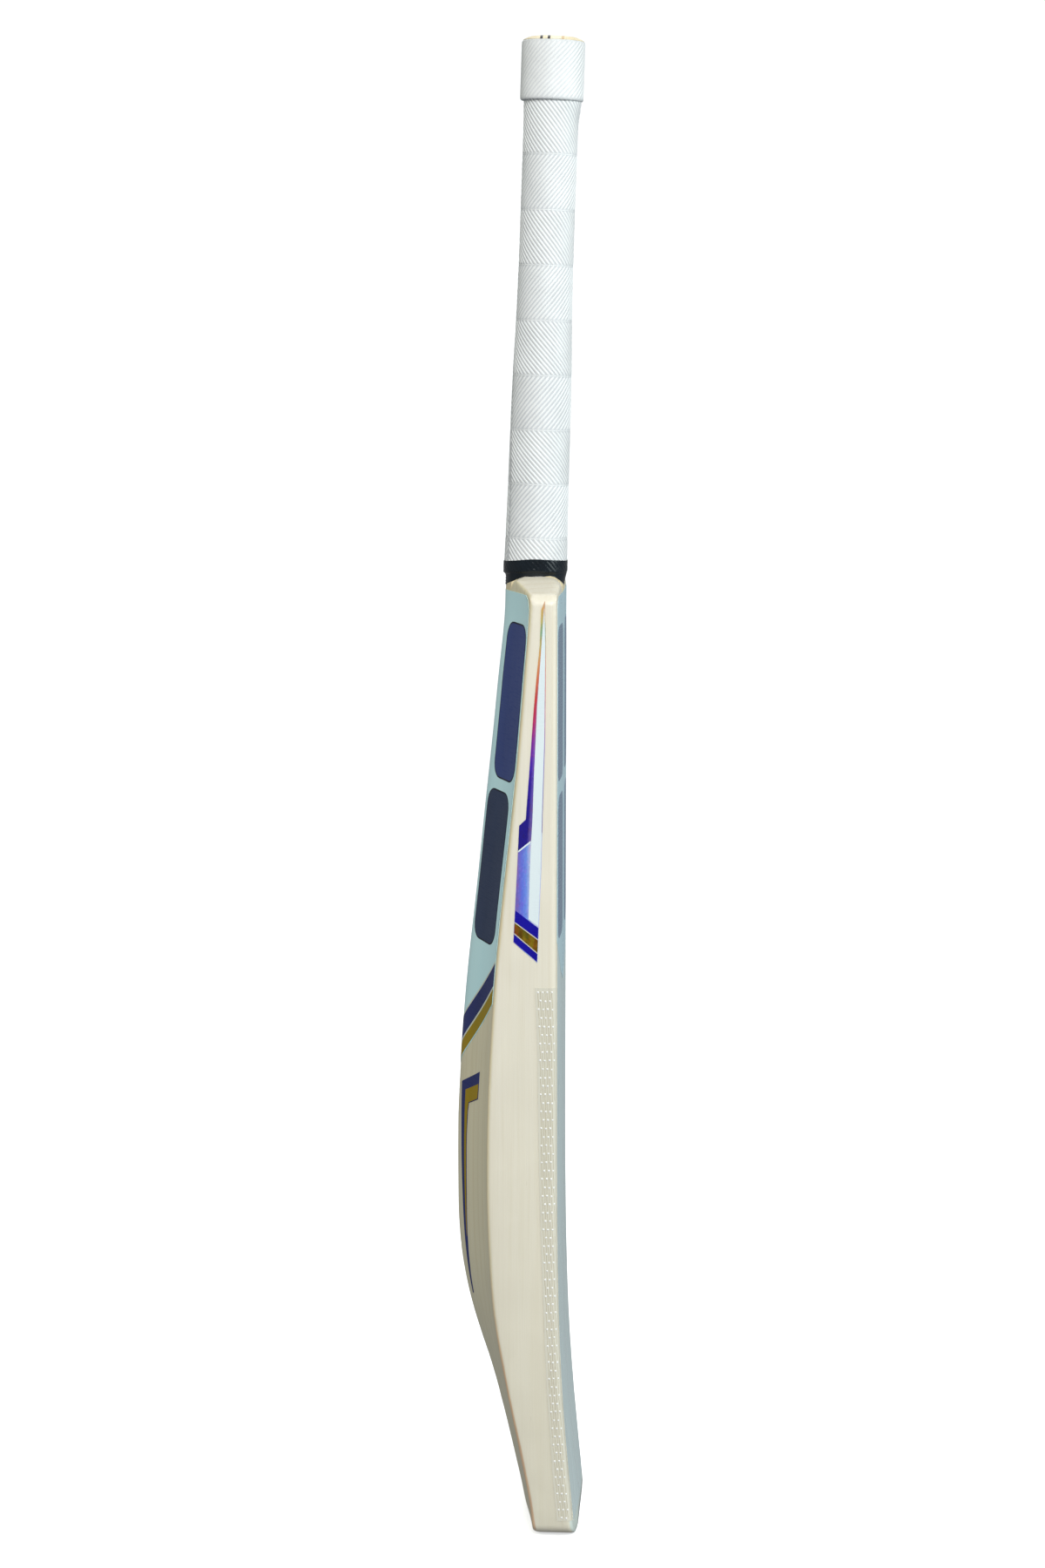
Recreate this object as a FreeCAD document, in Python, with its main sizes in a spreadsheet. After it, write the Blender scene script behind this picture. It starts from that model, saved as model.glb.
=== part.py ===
import FreeCAD, Part
import math
import os

from FreeCAD import Placement, Rotation, Vector

# Cricket bat, millimetres. +Z runs up the bat from the toe to the end of the
# handle, the flat striking face looks towards -Y and the spine towards +Y.
# The origin is on the ground plane under the middle of the bat's width and
# depth, with the bat standing on its toe.

os.makedirs("parts", exist_ok=True)
doc = FreeCAD.newDocument("cricket_bat")
sheet = doc.addObject("Spreadsheet::Sheet", "sizes")
_row = [0]


def cell(alias, value):
    _row[0] += 1
    n = _row[0]
    sheet.set("A%d" % n, alias)
    sheet.set("B%d" % n, "%.6g" % value)
    sheet.setAlias("B%d" % n, alias)


# Blade: overall sizes.
cell("depth_shift", -23.86)      # puts the origin in the middle of the whole depth
cell("blade_half_width", 54.0)
cell("face_crown", 1.0)          # how far the face bulges across its width
cell("face_corner", 3.0)         # rounding of the face corners
cell("back_corner", 2.6)         # rounding of the back corners
cell("toe_radius_face", 2.0)
cell("toe_radius_back", 5.0)
cell("toe_corner_width", 24.0)     # the toe's corners sweep up over this width
cell("toe_corner_height", 9.0)
cell("toe_corner_cut", 0.8)        # where the flat bottom cuts the sweep
cell("toe_crown", 1.5)             # extra bulge of the face at the toe
cell("toe_crown_height", 70.0)
cell("blank_top", 562.0)
# Stations of the blade: height, face line, back corner line, spine line. The
# lowest lies just under the ground plane, where the toe is cut flat.
stations = [
    (-0.4, -11.45, 12.35, 19.5),
    (0.5, -11.32, 12.5, 19.7),
    (1.2, -11.21, 12.6, 19.9),
    (2.4, -11.03, 12.8, 20.1),
    (4.2, -10.75, 13.1, 20.5),
    (6.4, -10.41, 13.4, 21.0),
    (9.0, -10.0, 13.7, 21.5),
    (14.0, -9.45, 14.3, 22.5),
    (24.0, -8.5, 15.6, 24.7),
    (36.0, -7.4, 17.8, 27.5),
    (50.0, -6.1, 20.5, 30.7),
    (64.0, -4.95, 23.3, 34.1),
    (78.0, -3.9, 26.2, 37.7),
    (92.0, -3.0, 28.9, 41.7),
    (106.0, -2.25, 31.5, 46.3),
    (122.0, -1.6, 34.2, 51.2),
    (140.0, -1.05, 36.5, 55.5),
    (160.0, -0.6, 38.0, 58.6),
    (185.0, -0.25, 39.2, 60.2),
    (212.0, -0.05, 39.7, 60.6),
    (240.0, 0.0, 39.5, 60.1),
    (270.0, 0.0, 38.6, 58.6),
    (305.0, 0.0, 36.7, 56.1),
    (345.0, 0.0, 33.6, 52.2),
    (390.0, 0.0, 29.0, 47.2),
    (435.0, 0.0, 24.1, 42.5),
    (475.0, 0.0, 20.5, 38.3),
    (510.0, 0.0, 17.6, 34.7),
    (540.0, 0.0, 15.4, 32.1),
    (562.0, 0.0, 14.4, 31.0),
]
cell("station_count", len(stations))
for i, (zz, yf, yb, ys) in enumerate(stations):
    cell("station_height_%02d" % i, zz)
    cell("face_line_%02d" % i, yf)
    cell("back_line_%02d" % i, yb)
    cell("spine_line_%02d" % i, ys)

# Splice: the handle's V let into the blade.
cell("splice_top", 566.0)
cell("splice_tip", 424.0)
cell("splice_half_top", 15.9)
cell("splice_half_tip", 1.4)
cell("glue_gap", 0.05)

# Handle: its own frame starts at the shoulder and leans towards the face.
cell("handle_root_height", 555.0)
cell("handle_root_depth", 15.2)
cell("handle_lean", 1.957)       # degrees
cell("cane_end", 297.4)          # where the cane meets the grip's end
cell("cane_dome", 2.6)
cell("dome_radius", 36.0)
cell("binding_thick", 0.7)
cell("grip_thick", 1.5)
cell("fit_gap", 0.05)
core = [
    # height above the shoulder, half depth, half width of the bare cane
    (-8.0, 15.95, 15.1),
    (14.0, 15.75, 14.9),
    (38.0, 15.35, 14.5),
    (64.0, 15.1, 14.2),
    (90.0, 14.95, 13.95),
    (114.0, 14.6, 13.75),
    (136.0, 14.0, 13.55),
    (160.0, 13.55, 13.4),
    (186.0, 13.32, 13.31),
    (240.0, 13.31, 13.3),
    (304.0, 13.31, 13.3),
]
cell("core_count", len(core))
for i, (zz, rd, rw) in enumerate(core):
    cell("core_height_%02d" % i, zz)
    cell("core_depth_%02d" % i, rd)
    cell("core_width_%02d" % i, rw)
cell("binding_low", 1.8)
cell("grip_low", 2.6)            # the grip's lower end above the shoulder
cell("grip_high", 297.0)
cell("collar_low", 264.6)
cell("collar_high", 297.2)
cell("collar_inner", 15.66)
cell("collar_outer", 17.95)
cell("collar_lip", 1.3)
cell("tape_thick", 0.3)
cell("tape_high", 11.4)
cell("tape_step", 2.5)

# Layers of the laminated handle, measured from its axis towards the back.
cell("layer_wide", 60.0)
cell("layer_long", 470.0)
cell("layer_down", 150.0)
layers = [
    # name, from, to
    ("cane_back", 6.80, 40.0),
    ("spring_back", 5.25, 6.75),
    ("cane_mid_back", 2.60, 5.20),
    ("spring_centre", 1.05, 2.55),
    ("cane_centre", -5.00, 1.00),
    ("spring_front", -6.55, -5.05),
    ("cane_front", -40.0, -6.60),
]
for name, lo, hi in layers:
    cell(name + "_from", lo)
    cell(name + "_deep", hi - lo)
cell("strip_gap", 0.05)          # glue line between the strips of one cane layer
cell("strip_half", 4.6)          # half width of the middle strip
cell("cane_lamination", -0.40)   # glue line inside the centre layer

# Sheets stuck on the blade.
cell("skin_gap", 0.03)
cell("skin_out", 0.21)
cell("toe_guard_thick", 1.5)
cell("toe_guard_gap", 0.04)
doc.recompute()


def val(alias):
    return float(sheet.get(alias))


SHIFT = val("depth_shift")


def check(obj, volume=True):
    doc.recompute()
    bad = [w for w in obj.State if w in ("Invalid", "Error")]
    if bad:
        raise RuntimeError("%s: %s" % (obj.Name, obj.State))
    shp = obj.Shape
    if shp.isNull() or not shp.isValid():
        raise RuntimeError("%s: shape not valid" % obj.Name)
    if volume and shp.Volume <= 0:
        raise RuntimeError("%s: volume %g" % (obj.Name, shp.Volume))
    return obj


# ---------------------------------------------------------------- the blade
HALF = val("blade_half_width")
CROWN = val("face_crown")
RFACE = val("face_corner")
RBACK = val("back_corner")


def inset(radius, height):
    height = max(0.0, height)
    if height >= radius:
        return 0.0
    return radius - math.sqrt(radius * radius - (radius - height) ** 2)


def corner(width, high, cut, height):
    if height >= high:
        return 0.0
    return width * (1 - math.sqrt(1 - (1 - (height + cut) / (high + cut)) ** 2))


def ridge(t):
    # 0 at the spine, 1 at the back corner: a rounded ridge with gently
    # scooped flanks.
    a, b = 0.17, 0.55
    one = math.sqrt(1 + a * a) - a
    g = (math.sqrt(t * t + a * a) - a) / one
    return (1 - math.exp(-b * g)) / (1 - math.exp(-b))


def section(i, grow):
    zz = val("station_height_%02d" % i)
    half = HALF + grow - corner(val("toe_corner_width"), val("toe_corner_height"), val("toe_corner_cut"), zz)
    yf = val("face_line_%02d" % i) - grow + inset(val("toe_radius_face"), zz)
    yb = val("back_line_%02d" % i) + grow - inset(val("toe_radius_back"), zz)
    ys = val("spine_line_%02d" % i) + grow - inset(val("toe_radius_back"), zz)
    rf, rb = RFACE, RBACK
    yf += SHIFT
    yb += SHIFT
    ys += SHIFT
    flat = half - rf
    back = half - rb

    def spline(points, start=None, end=None):
        c = Part.BSplineCurve()
        if start is None:
            c.interpolate(points)
        else:
            c.interpolate(Points=points, InitialTangent=start, FinalTangent=end)
        return c.toShape()

    crown = CROWN + val("toe_crown") * max(0.0, 1 - zz / val("toe_crown_height"))

    def yface(x):
        return yf - crown * (1 - (x / flat) ** 2)

    def yback(x):
        t = min(1.0, abs(x) / back)
        return ys + (yb - ys) * ridge(t)

    edges = []
    xs = [-flat, -0.75 * flat, -0.5 * flat, -0.25 * flat, 0, 0.25 * flat, 0.5 * flat, 0.75 * flat, flat]
    edges.append(spline([Vector(x, yface(x), zz) for x in xs]))
    q = math.sin(math.radians(45))
    # face corner, right
    edges.append(
        Part.Arc(
            Vector(flat, yf, zz),
            Vector(flat + rf * q, yf + rf * (1 - q), zz),
            Vector(half, yf + rf, zz),
        ).toShape()
    )
    edges.append(Part.LineSegment(Vector(half, yf + rf, zz), Vector(half, yb - rb, zz)).toShape())
    edges.append(
        Part.Arc(
            Vector(half, yb - rb, zz),
            Vector(back + rb * q, yb - rb * (1 - q), zz),
            Vector(back, yb, zz),
        ).toShape()
    )
    fr = [1, 0.9, 0.78, 0.64, 0.5, 0.37, 0.25, 0.15, 0.07]
    pts = [Vector(back * k, yback(back * k), zz) for k in fr]
    pts.append(Vector(0, yback(0), zz))
    pts += [Vector(-back * k, yback(back * k), zz) for k in reversed(fr)]
    edges.append(spline(pts))
    edges.append(
        Part.Arc(
            Vector(-back, yb, zz),
            Vector(-back - rb * q, yb - rb * (1 - q), zz),
            Vector(-half, yb - rb, zz),
        ).toShape()
    )
    edges.append(Part.LineSegment(Vector(-half, yb - rb, zz), Vector(-half, yf + rf, zz)).toShape())
    edges.append(
        Part.Arc(
            Vector(-half, yf + rf, zz),
            Vector(-flat - rf * q, yf + rf * (1 - q), zz),
            Vector(-flat, yf, zz),
        ).toShape()
    )
    return Part.Wire(edges)


def blank(name, grow):
    wires = [section(i, grow) for i in range(int(val("station_count")))]
    shp = Part.makeLoft(wires, True, False, False, 3)
    if shp.Volume < 0:
        shp.reverse()
    obj = doc.addObject("Part::Feature", name)
    obj.Shape = shp
    return check(obj)


blank_core = blank("blank_core", 0.0)


def outline(name, plane, points, length, start):
    """A closed outline pushed through along the third axis."""
    pts = [Vector(start, a, b) if plane == "YZ" else Vector(a, start, b) for a, b in points]
    pts.append(pts[0])
    base = doc.addObject("Part::Feature", name + "_outline")
    base.Shape = Part.Face(Part.makePolygon(pts))
    ext = doc.addObject("Part::Extrusion", name)
    ext.Base = base
    ext.DirMode = "Custom"
    ext.Dir = Vector(1, 0, 0) if plane == "YZ" else Vector(0, 1, 0)
    ext.LengthFwd = length
    ext.Solid = True
    return check(ext)


def arc_points(cx, cy, r, a0, a1, n):
    return [
        (cx + r * math.cos(math.radians(a0 + (a1 - a0) * k / n)),
         cy + r * math.sin(math.radians(a0 + (a1 - a0) * k / n)))
        for k in range(n + 1)
    ]


# Shoulders as seen from the front: a soft slope from the handle out to the
# edges, then a rounded corner.
def shoulder_front(lift, out):
    right = [(54.3 + out, 541.0)]
    right += [(x + out, zz + lift) for x, zz in arc_points(46.3, 541.2, 8.0, 0, 78, 9)]
    right += [(40.0, 550.5 + lift), (32.0, 552.2 + lift), (24.0, 554.1 + lift), (17.0, 555.6 + lift),
              (9.0, 556.4 + lift)]
    left = [(-x, zz) for x, zz in reversed(right)]
    return [(-54.3 - out, -30.0), (54.3 + out, -30.0)] + right + left


# Shoulders as seen from the side: crowned over the depth.
def shoulder_side(lift):
    top = [(-12.0, 538.0), (-4.5, 546.2), (-1.5, 550.4), (0.8, 553.2), (3.4, 555.2), (6.6, 556.2),
           (12.5, 556.5), (19.0, 556.1), (23.0, 554.8), (27.0, 553.0), (31.5, 550.9), (40.0, 547.0),
           (60.0, 538.0)]
    return [(60.0 + SHIFT, -30.0), (-12.0 + SHIFT, -30.0)] + [(y + SHIFT, zz + lift) for y, zz in top]


cap_front = outline("cap_front", "XZ", shoulder_front(0, 0), 200.0, -100.0)
cap_side = outline("cap_side", "YZ", [(y, zz) for y, zz in shoulder_side(0)], 200.0, -100.0)
cap = doc.addObject("Part::Common", "cap")
cap.Base, cap.Tool = cap_front, cap_side
check(cap)
blank_trim = doc.addObject("Part::Common", "blank_trim")
blank_trim.Base, blank_trim.Tool = blank_core, cap
check(blank_trim)


def wedge(name, extra):
    w = doc.addObject("Part::Wedge", name)
    w.setExpression("Ymin", "0 mm")
    w.setExpression("Ymax", "(sizes.splice_top - sizes.splice_tip) * 1 mm")
    w.setExpression("Xmin", "-(sizes.splice_half_tip + %s) * 1 mm" % extra)
    w.setExpression("Xmax", "(sizes.splice_half_tip + %s) * 1 mm" % extra)
    w.setExpression("X2min", "-(sizes.splice_half_top + %s) * 1 mm" % extra)
    w.setExpression("X2max", "(sizes.splice_half_top + %s) * 1 mm" % extra)
    w.Zmin, w.Zmax, w.Z2min, w.Z2max = -60, 60, -60, 60
    w.Placement = Placement(
        Vector(0, 0, val("splice_tip") - (val("glue_gap") if extra != "0" else 0)),
        Rotation(Vector(1, 0, 0), 90),
    )
    return check(w)


vee = wedge("vee", "0")
vee_slot = wedge("vee_slot", "sizes.glue_gap")

slotted = doc.addObject("Part::Cut", "blade_slotted")
slotted.Base, slotted.Tool = blank_trim, vee_slot
check(slotted)
splice = doc.addObject("Part::Common", "splice")
splice.Base, splice.Tool = blank_trim, vee
check(splice)

# The toe's lowest slice belongs to the guard.
toe_box = doc.addObject("Part::Box", "toe_box")
toe_box.setExpression("Height", "sizes.toe_guard_thick * 1 mm")
toe_box.Length, toe_box.Width = 200, 200
toe_box.Placement = Placement(Vector(-100, -100, 0), Rotation())
toe_box_gap = doc.addObject("Part::Box", "toe_box_gap")
toe_box_gap.setExpression("Height", "(sizes.toe_guard_thick + sizes.toe_guard_gap + 50) * 1 mm")
toe_box_gap.Length, toe_box_gap.Width = 200, 200
toe_box_gap.Placement = Placement(Vector(-100, -100, -50), Rotation())
check(toe_box)
check(toe_box_gap)

blade = doc.addObject("Part::Cut", "blade")
blade.Base, blade.Tool = slotted, toe_box_gap
blade.Label = "blade"
check(blade)
toe_guard = doc.addObject("Part::Common", "toe_guard")
toe_guard.Base, toe_guard.Tool = blank_trim, toe_box
toe_guard.Label = "toe_guard"
check(toe_guard)

# --------------------------------------------------------------- the handle
LEAN = Rotation(Vector(1, 0, 0), val("handle_lean"))
ROOT = Placement(Vector(0, val("handle_root_depth") + SHIFT, val("handle_root_height")), LEAN)


def oval(name, extra, first, last, low=None, high=None):
    """An oval tube form lofted through the core's stations, grown by extra."""
    rows = []
    for i in range(int(val("core_count"))):
        rows.append((val("core_height_%02d" % i), i))

    def at(height):
        for (z0, i0), (z1, i1) in zip(rows, rows[1:]):
            if z0 <= height <= z1:
                k = (height - z0) / (z1 - z0)
                return i0, i1, k
        raise ValueError(height)

    heights = [z for z, _ in rows if (low is None or z > low + 3) and (high is None or z < high - 3)]
    if low is not None:
        heights.insert(0, low)
    if high is not None:
        heights.append(high)
    rings = []
    for n, height in enumerate(heights):
        i0, i1, k = at(height)
        e = doc.addObject("Part::Ellipse", "%s_ring_%02d" % (name, n))
        for prop, what in (("MajorRadius", "depth"), ("MinorRadius", "width")):
            e.setExpression(
                prop,
                "(sizes.core_%s_%02d * %.6f + sizes.core_%s_%02d * %.6f + %s) * 1 mm"
                % (what, i0, 1 - k, what, i1, k, extra),
            )
        local = Placement(Vector(0, 0, height), Rotation(Vector(0, 0, 1), 90))
        e.Placement = ROOT.multiply(local)
        rings.append(e)
    doc.recompute()
    loft = doc.addObject("Part::Loft", name)
    loft.Sections = rings
    loft.Solid = True
    loft.Ruled = True
    return check(loft)


core_form = oval("core_form", "0", None, None)
handle_upper = doc.addObject("Part::Cut", "handle_upper")
handle_upper.Base, handle_upper.Tool = core_form, cap
check(handle_upper)
envelope = doc.addObject("Part::Fuse", "handle_envelope")
envelope.Base, envelope.Tool = handle_upper, splice
check(envelope)

# Rounded end of the handle: everything above a shallow ball comes away.
ball = doc.addObject("Part::Sphere", "end_ball")
ball.setExpression("Radius", "sizes.dome_radius * 1 mm")
ball.Placement = ROOT.multiply(
    Placement(Vector(0, 0, val("cane_end") + val("cane_dome") - val("dome_radius")), Rotation())
)
end_block = doc.addObject("Part::Cylinder", "end_block")
end_block.Radius = 30
end_block.Height = 30
end_block.Placement = ROOT.multiply(Placement(Vector(0, 0, 285.0), Rotation()))
end_waste = doc.addObject("Part::Cut", "end_waste")
end_waste.Base, end_waste.Tool = end_block, ball
check(end_waste)
handle_form = doc.addObject("Part::Cut", "handle_form")
handle_form.Base, handle_form.Tool = envelope, end_waste
check(handle_form)


def slab(name, start, deep, x0=None, x1=None):
    """A slab of the handle, parallel to the face, in the handle's frame."""
    b = doc.addObject("Part::Box", name)
    b.setExpression("Width", "%s * 1 mm" % deep)
    b.setExpression("Height", "sizes.layer_long * 1 mm")
    wide = val("layer_wide")
    b.Length = wide if x0 is None else (x1 - x0)
    b.Placement = ROOT.multiply(
        Placement(Vector(-wide / 2 if x0 is None else x0, val(start), -val("layer_down")), Rotation())
    )
    return check(b)


nodes = [blade, toe_guard]


def finish_group(name, pieces):
    """Several separate strips kept as one named sub-part."""
    comp = doc.addObject("Part::Compound", name)
    comp.Links = pieces
    comp.Label = name
    check(comp)
    nodes.append(comp)
    return comp


STRIP = val("strip_half")
SGAP = val("strip_gap")
WIDE = val("layer_wide")
for name, lo, hi in layers:
    if name.startswith("spring"):
        b = slab(name + "_slab", name + "_from", "sizes.%s_deep" % name)
        c = doc.addObject("Part::Common", name)
        c.Base, c.Tool = handle_form, b
        c.Label = name
        check(c)
        nodes.append(c)
        continue
    bands = [(name + "_from", "sizes.%s_deep" % name, "")]
    if name == "cane_centre":
        # this layer is laminated from two thinner canes
        bands = [
            (name + "_from", "(sizes.cane_lamination - sizes.cane_centre_from)", "_a"),
            ("cane_lamination", "(sizes.cane_centre_from + sizes.cane_centre_deep - sizes.cane_lamination)", "_b"),
        ]
    strips = []
    for start, deep, tag in bands:
        for n, (x0, x1) in enumerate(
            ((-WIDE / 2, -STRIP - SGAP / 2), (-STRIP + SGAP / 2, STRIP - SGAP / 2), (STRIP + SGAP / 2, WIDE / 2))
        ):
            b = slab("%s_slab%s_%d" % (name, tag, n), start, deep, x0, x1)
            if tag == "_b":
                b.Placement = b.Placement.multiply(Placement(Vector(0, SGAP, 0), Rotation()))
                b.setExpression("Width", "(%s - %g) * 1 mm" % (deep, SGAP))
                check(b)
            c = doc.addObject("Part::Common", "%s_strip%s_%d" % (name, tag, n))
            c.Base, c.Tool = handle_form, b
            check(c)
            strips.append(c)
    finish_group(name, strips)

# Twine binding wound round the cane, as one sleeve.
bind_out = oval("bind_out", "sizes.binding_thick", None, None, None, val("grip_high") - 2.0)
bind_in = oval("bind_in", "0.03", None, None)
bind_tube = doc.addObject("Part::Cut", "bind_tube")
bind_tube.Base, bind_tube.Tool = bind_out, bind_in
check(bind_tube)
cap_lift_front = outline("cap_lift_front", "XZ", shoulder_front(0.06, 0.1), 200.0, -100.0)
cap_lift_side = outline("cap_lift_side", "YZ", shoulder_side(0.06), 200.0, -100.0)
cap_lift = doc.addObject("Part::Common", "cap_lift")
cap_lift.Base, cap_lift.Tool = cap_lift_front, cap_lift_side
check(cap_lift)
binding = doc.addObject("Part::Cut", "twine_binding")
binding.Base, binding.Tool = bind_tube, cap_lift
binding.Label = "twine_binding"
check(binding)
nodes.append(binding)

# Rubber grip.
grip_out = oval("grip_out", "sizes.binding_thick + sizes.fit_gap + sizes.grip_thick", None, None,
                val("grip_low"), val("grip_high"))
grip_in = oval("grip_in", "sizes.binding_thick + sizes.fit_gap", None, None, -4.0, 301.0)
grip = doc.addObject("Part::Cut", "grip_sleeve")
grip.Base, grip.Tool = grip_out, grip_in
grip.Label = "grip_sleeve"
check(grip)
nodes.append(grip)

# Grip collar: a thicker rolled ring on the top end of the grip.
collar = doc.addObject("PartDesign::Body", "grip_collar")
collar.Label = "grip_collar"
sk = collar.newObject("Sketcher::SketchObject", "collar_profile")
plane = [f for f in collar.Origin.OriginFeatures if f.Role == "XZ_Plane"][0]
sk.AttachmentSupport = [(plane, "")]
sk.MapMode = "FlatFace"
ci, co, cl, ch, lip = (val(k) for k in ("collar_inner", "collar_outer", "collar_low", "collar_high", "collar_lip"))
q = math.sin(math.radians(45))
sk.addGeometry(Part.LineSegment(Vector(ci, cl, 0), Vector(co - lip, cl, 0)))
sk.addGeometry(Part.Arc(Vector(co - lip, cl, 0), Vector(co - lip + lip * q, cl + lip * (1 - q), 0), Vector(co, cl + lip, 0)))
sk.addGeometry(Part.LineSegment(Vector(co, cl + lip, 0), Vector(co, ch - lip, 0)))
sk.addGeometry(Part.Arc(Vector(co, ch - lip, 0), Vector(co - lip + lip * q, ch - lip * (1 - q), 0), Vector(co - lip, ch, 0)))
sk.addGeometry(Part.LineSegment(Vector(co - lip, ch, 0), Vector(ci, ch, 0)))
sk.addGeometry(Part.LineSegment(Vector(ci, ch, 0), Vector(ci, cl, 0)))
doc.recompute()
rev = collar.newObject("PartDesign::Revolution", "collar_ring")
rev.Profile = sk
rev.ReferenceAxis = (sk, ["V_Axis"])
rev.Angle = 360
collar.Tip = rev
collar.Placement = ROOT
check(collar)
nodes.append(collar)

# Tape over the grip's lower end, stepping down on to the binding.
tape_high_out = oval("tape_high_out",
                     "sizes.binding_thick + sizes.fit_gap * 2 + sizes.grip_thick + sizes.tape_thick",
                     None, None, val("tape_step"), val("tape_high"))
tape_high_in = oval("tape_high_in", "sizes.binding_thick + sizes.fit_gap * 2 + sizes.grip_thick",
                    None, None, val("tape_step") - 0.5 + 0.5, val("tape_high") + 2.0)
tape_upper = doc.addObject("Part::Cut", "tape_upper")
tape_upper.Base, tape_upper.Tool = tape_high_out, tape_high_in
check(tape_upper)
tape_low_out = oval("tape_low_out", "sizes.binding_thick + sizes.fit_gap + sizes.tape_thick",
                    None, None, -7.5, val("tape_step"))
tape_foot = oval("tape_foot",
                 "sizes.binding_thick + sizes.fit_gap * 2 + sizes.grip_thick + sizes.tape_thick",
                 None, None, val("tape_step") - 0.4, val("tape_step"))
tape_low_in = oval("tape_low_in", "sizes.binding_thick + sizes.fit_gap", None, None, -7.9, val("tape_step") + 3.0)
tape_solid = doc.addObject("Part::Fuse", "tape_solid")
tape_solid.Base, tape_solid.Tool = tape_low_out, tape_foot
check(tape_solid)
tape_lower = doc.addObject("Part::Cut", "tape_lower")
tape_lower.Base, tape_lower.Tool = tape_solid, tape_low_in
check(tape_lower)
tape_all = doc.addObject("Part::Fuse", "tape_all")
tape_all.Base, tape_all.Tool = tape_lower, tape_upper
check(tape_all)
tape = doc.addObject("Part::Cut", "grip_tape")
tape.Base, tape.Tool = tape_all, cap_lift
tape.Label = "grip_tape"
check(tape)
nodes.append(tape)

# ------------------------------------------------------ sheets on the blade
def layer(name, parts):
    """A thin layer lying on the blade, made from some runs of its outline."""
    gap, out = val("skin_gap"), val("skin_out")
    wires = []
    for i in range(int(val("station_count"))):
        low = section(i, gap).Edges
        high = section(i, out).Edges
        inner = Part.Wire([low[k] for k in parts])
        outer = Part.Wire([high[k] for k in parts])
        a = [v.Point for v in inner.OrderedVertexes]
        b = [v.Point for v in outer.OrderedVertexes]
        if a[0].distanceToPoint(b[0]) > a[0].distanceToPoint(b[-1]):
            b.reverse()
        wires.append(
            Part.Wire(
                Part.__sortEdges__(
                    list(outer.OrderedEdges)
                    + [Part.LineSegment(b[0], a[0]).toShape(), Part.LineSegment(b[-1], a[-1]).toShape()]
                    + list(inner.OrderedEdges)
                )
            )
        )
    shp = Part.makeLoft(wires, True, False, False, 3)
    if shp.Volume < 0:
        shp.reverse()
    obj = doc.addObject("Part::Feature", name)
    obj.Shape = shp
    return check(obj)


# runs of the blade's outline: 0 face, 1 to 3 right edge, 4 back, 5 to 7 left edge
face_layer = layer("face_layer", [0])
back_layer = layer("back_layer", [4])
right_layer = layer("right_layer", [1, 2])
left_layer = layer("left_layer", [6, 7])


def sheet_piece(name, base, tools):
    body = base
    for n, tool in enumerate(tools):
        c = doc.addObject("Part::Common", name if n == len(tools) - 1 else "%s_cut_%d" % (name, n))
        c.Base, c.Tool = body, tool
        check(c)
        body = c
    body.Label = name
    check(body)
    nodes.append(body)
    return body


def mirror(points):
    return [(-x, zz) for x, zz in reversed(points)]


# Back sticker: from the shoulder down to a chevron across the spine.
half_back = [(0.0, 270.0), (50.4, 316.0), (50.4, 540.5), (47.5, 545.4), (43.0, 547.6)]
back_outline = [(0.0, 270.0)] + half_back[1:] + [(-x, zz) for x, zz in reversed(half_back[1:])]
sheet_piece("back_sticker", back_layer, [outline("back_sticker_shape", "XZ", back_outline, 60.0, 14.0 + SHIFT)])

# Back flashes: an angled bar that turns down beside the spine and tapers away, one each side.
flash = [(8.6, 261.0), (34.6, 273.0), (33.6, 256.6), (20.2, 250.9), (19.2, 246.0), (18.4, 232.0),
         (18.2, 196.0), (16.6, 165.0), (14.6, 135.0), (13.4, 135.0), (13.2, 165.0), (12.4, 196.0), (10.8, 232.0)]
sheet_piece("back_flash_right", back_layer, [outline("back_flash_right_shape", "XZ", flash, 60.0, 30.0 + SHIFT)])
sheet_piece("back_flash_left", back_layer, [outline("back_flash_left_shape", "XZ", mirror(flash), 60.0, 30.0 + SHIFT)])

# Face sticker: full width below the shoulders, tapering to a point.
half_face = [(48.6, 352.0), (48.6, 541.0), (46.5, 545.0), (42.5, 547.0)]
face_outline = [(0.0, 321.0), (22.0, 330.0)] + half_face + [(-x, zz) for x, zz in reversed(half_face)] + [(-22.0, 330.0)]
sheet_piece("face_sticker", face_layer, [outline("face_sticker_shape", "XZ", face_outline, 30.0, -24.0 + SHIFT)])

# Clear protective sheet on the lower face.
face_sheet = [(-48.6, 10.5), (48.6, 10.5), (48.6, 351.2), (22.0, 329.2), (0.0, 320.2), (-22.0, 329.2), (-48.6, 351.2)]
sheet_piece("face_sheet", face_layer, [outline("face_sheet_shape", "XZ", face_sheet, 40.0, -34.0 + SHIFT)])

# Fibre tape on each edge, wrapped round the face corner.
tape_line = [(12.0, 327.0), (11.4, 312.0), (10.7, 294.0), (10.1, 254.0), (9.5, 218.0), (8.5, 179.0), (6.6, 128.0),
             (4.9, 88.0), (3.1, 62.0), (1.3, 36.0), (-0.9, 12.0)]
tape_side = [(-30.0, 12.0), (-30.0, 327.0)] + tape_line
tape_side = [(y + SHIFT, zz) for y, zz in tape_side]
for side, start in (("left", -60.0), ("right", 49.4)):
    sheet_piece("edge_tape_%s" % side, left_layer if side == "left" else right_layer,
                [outline("edge_tape_%s_shape" % side, "YZ", tape_side, 10.6, start)])

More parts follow.
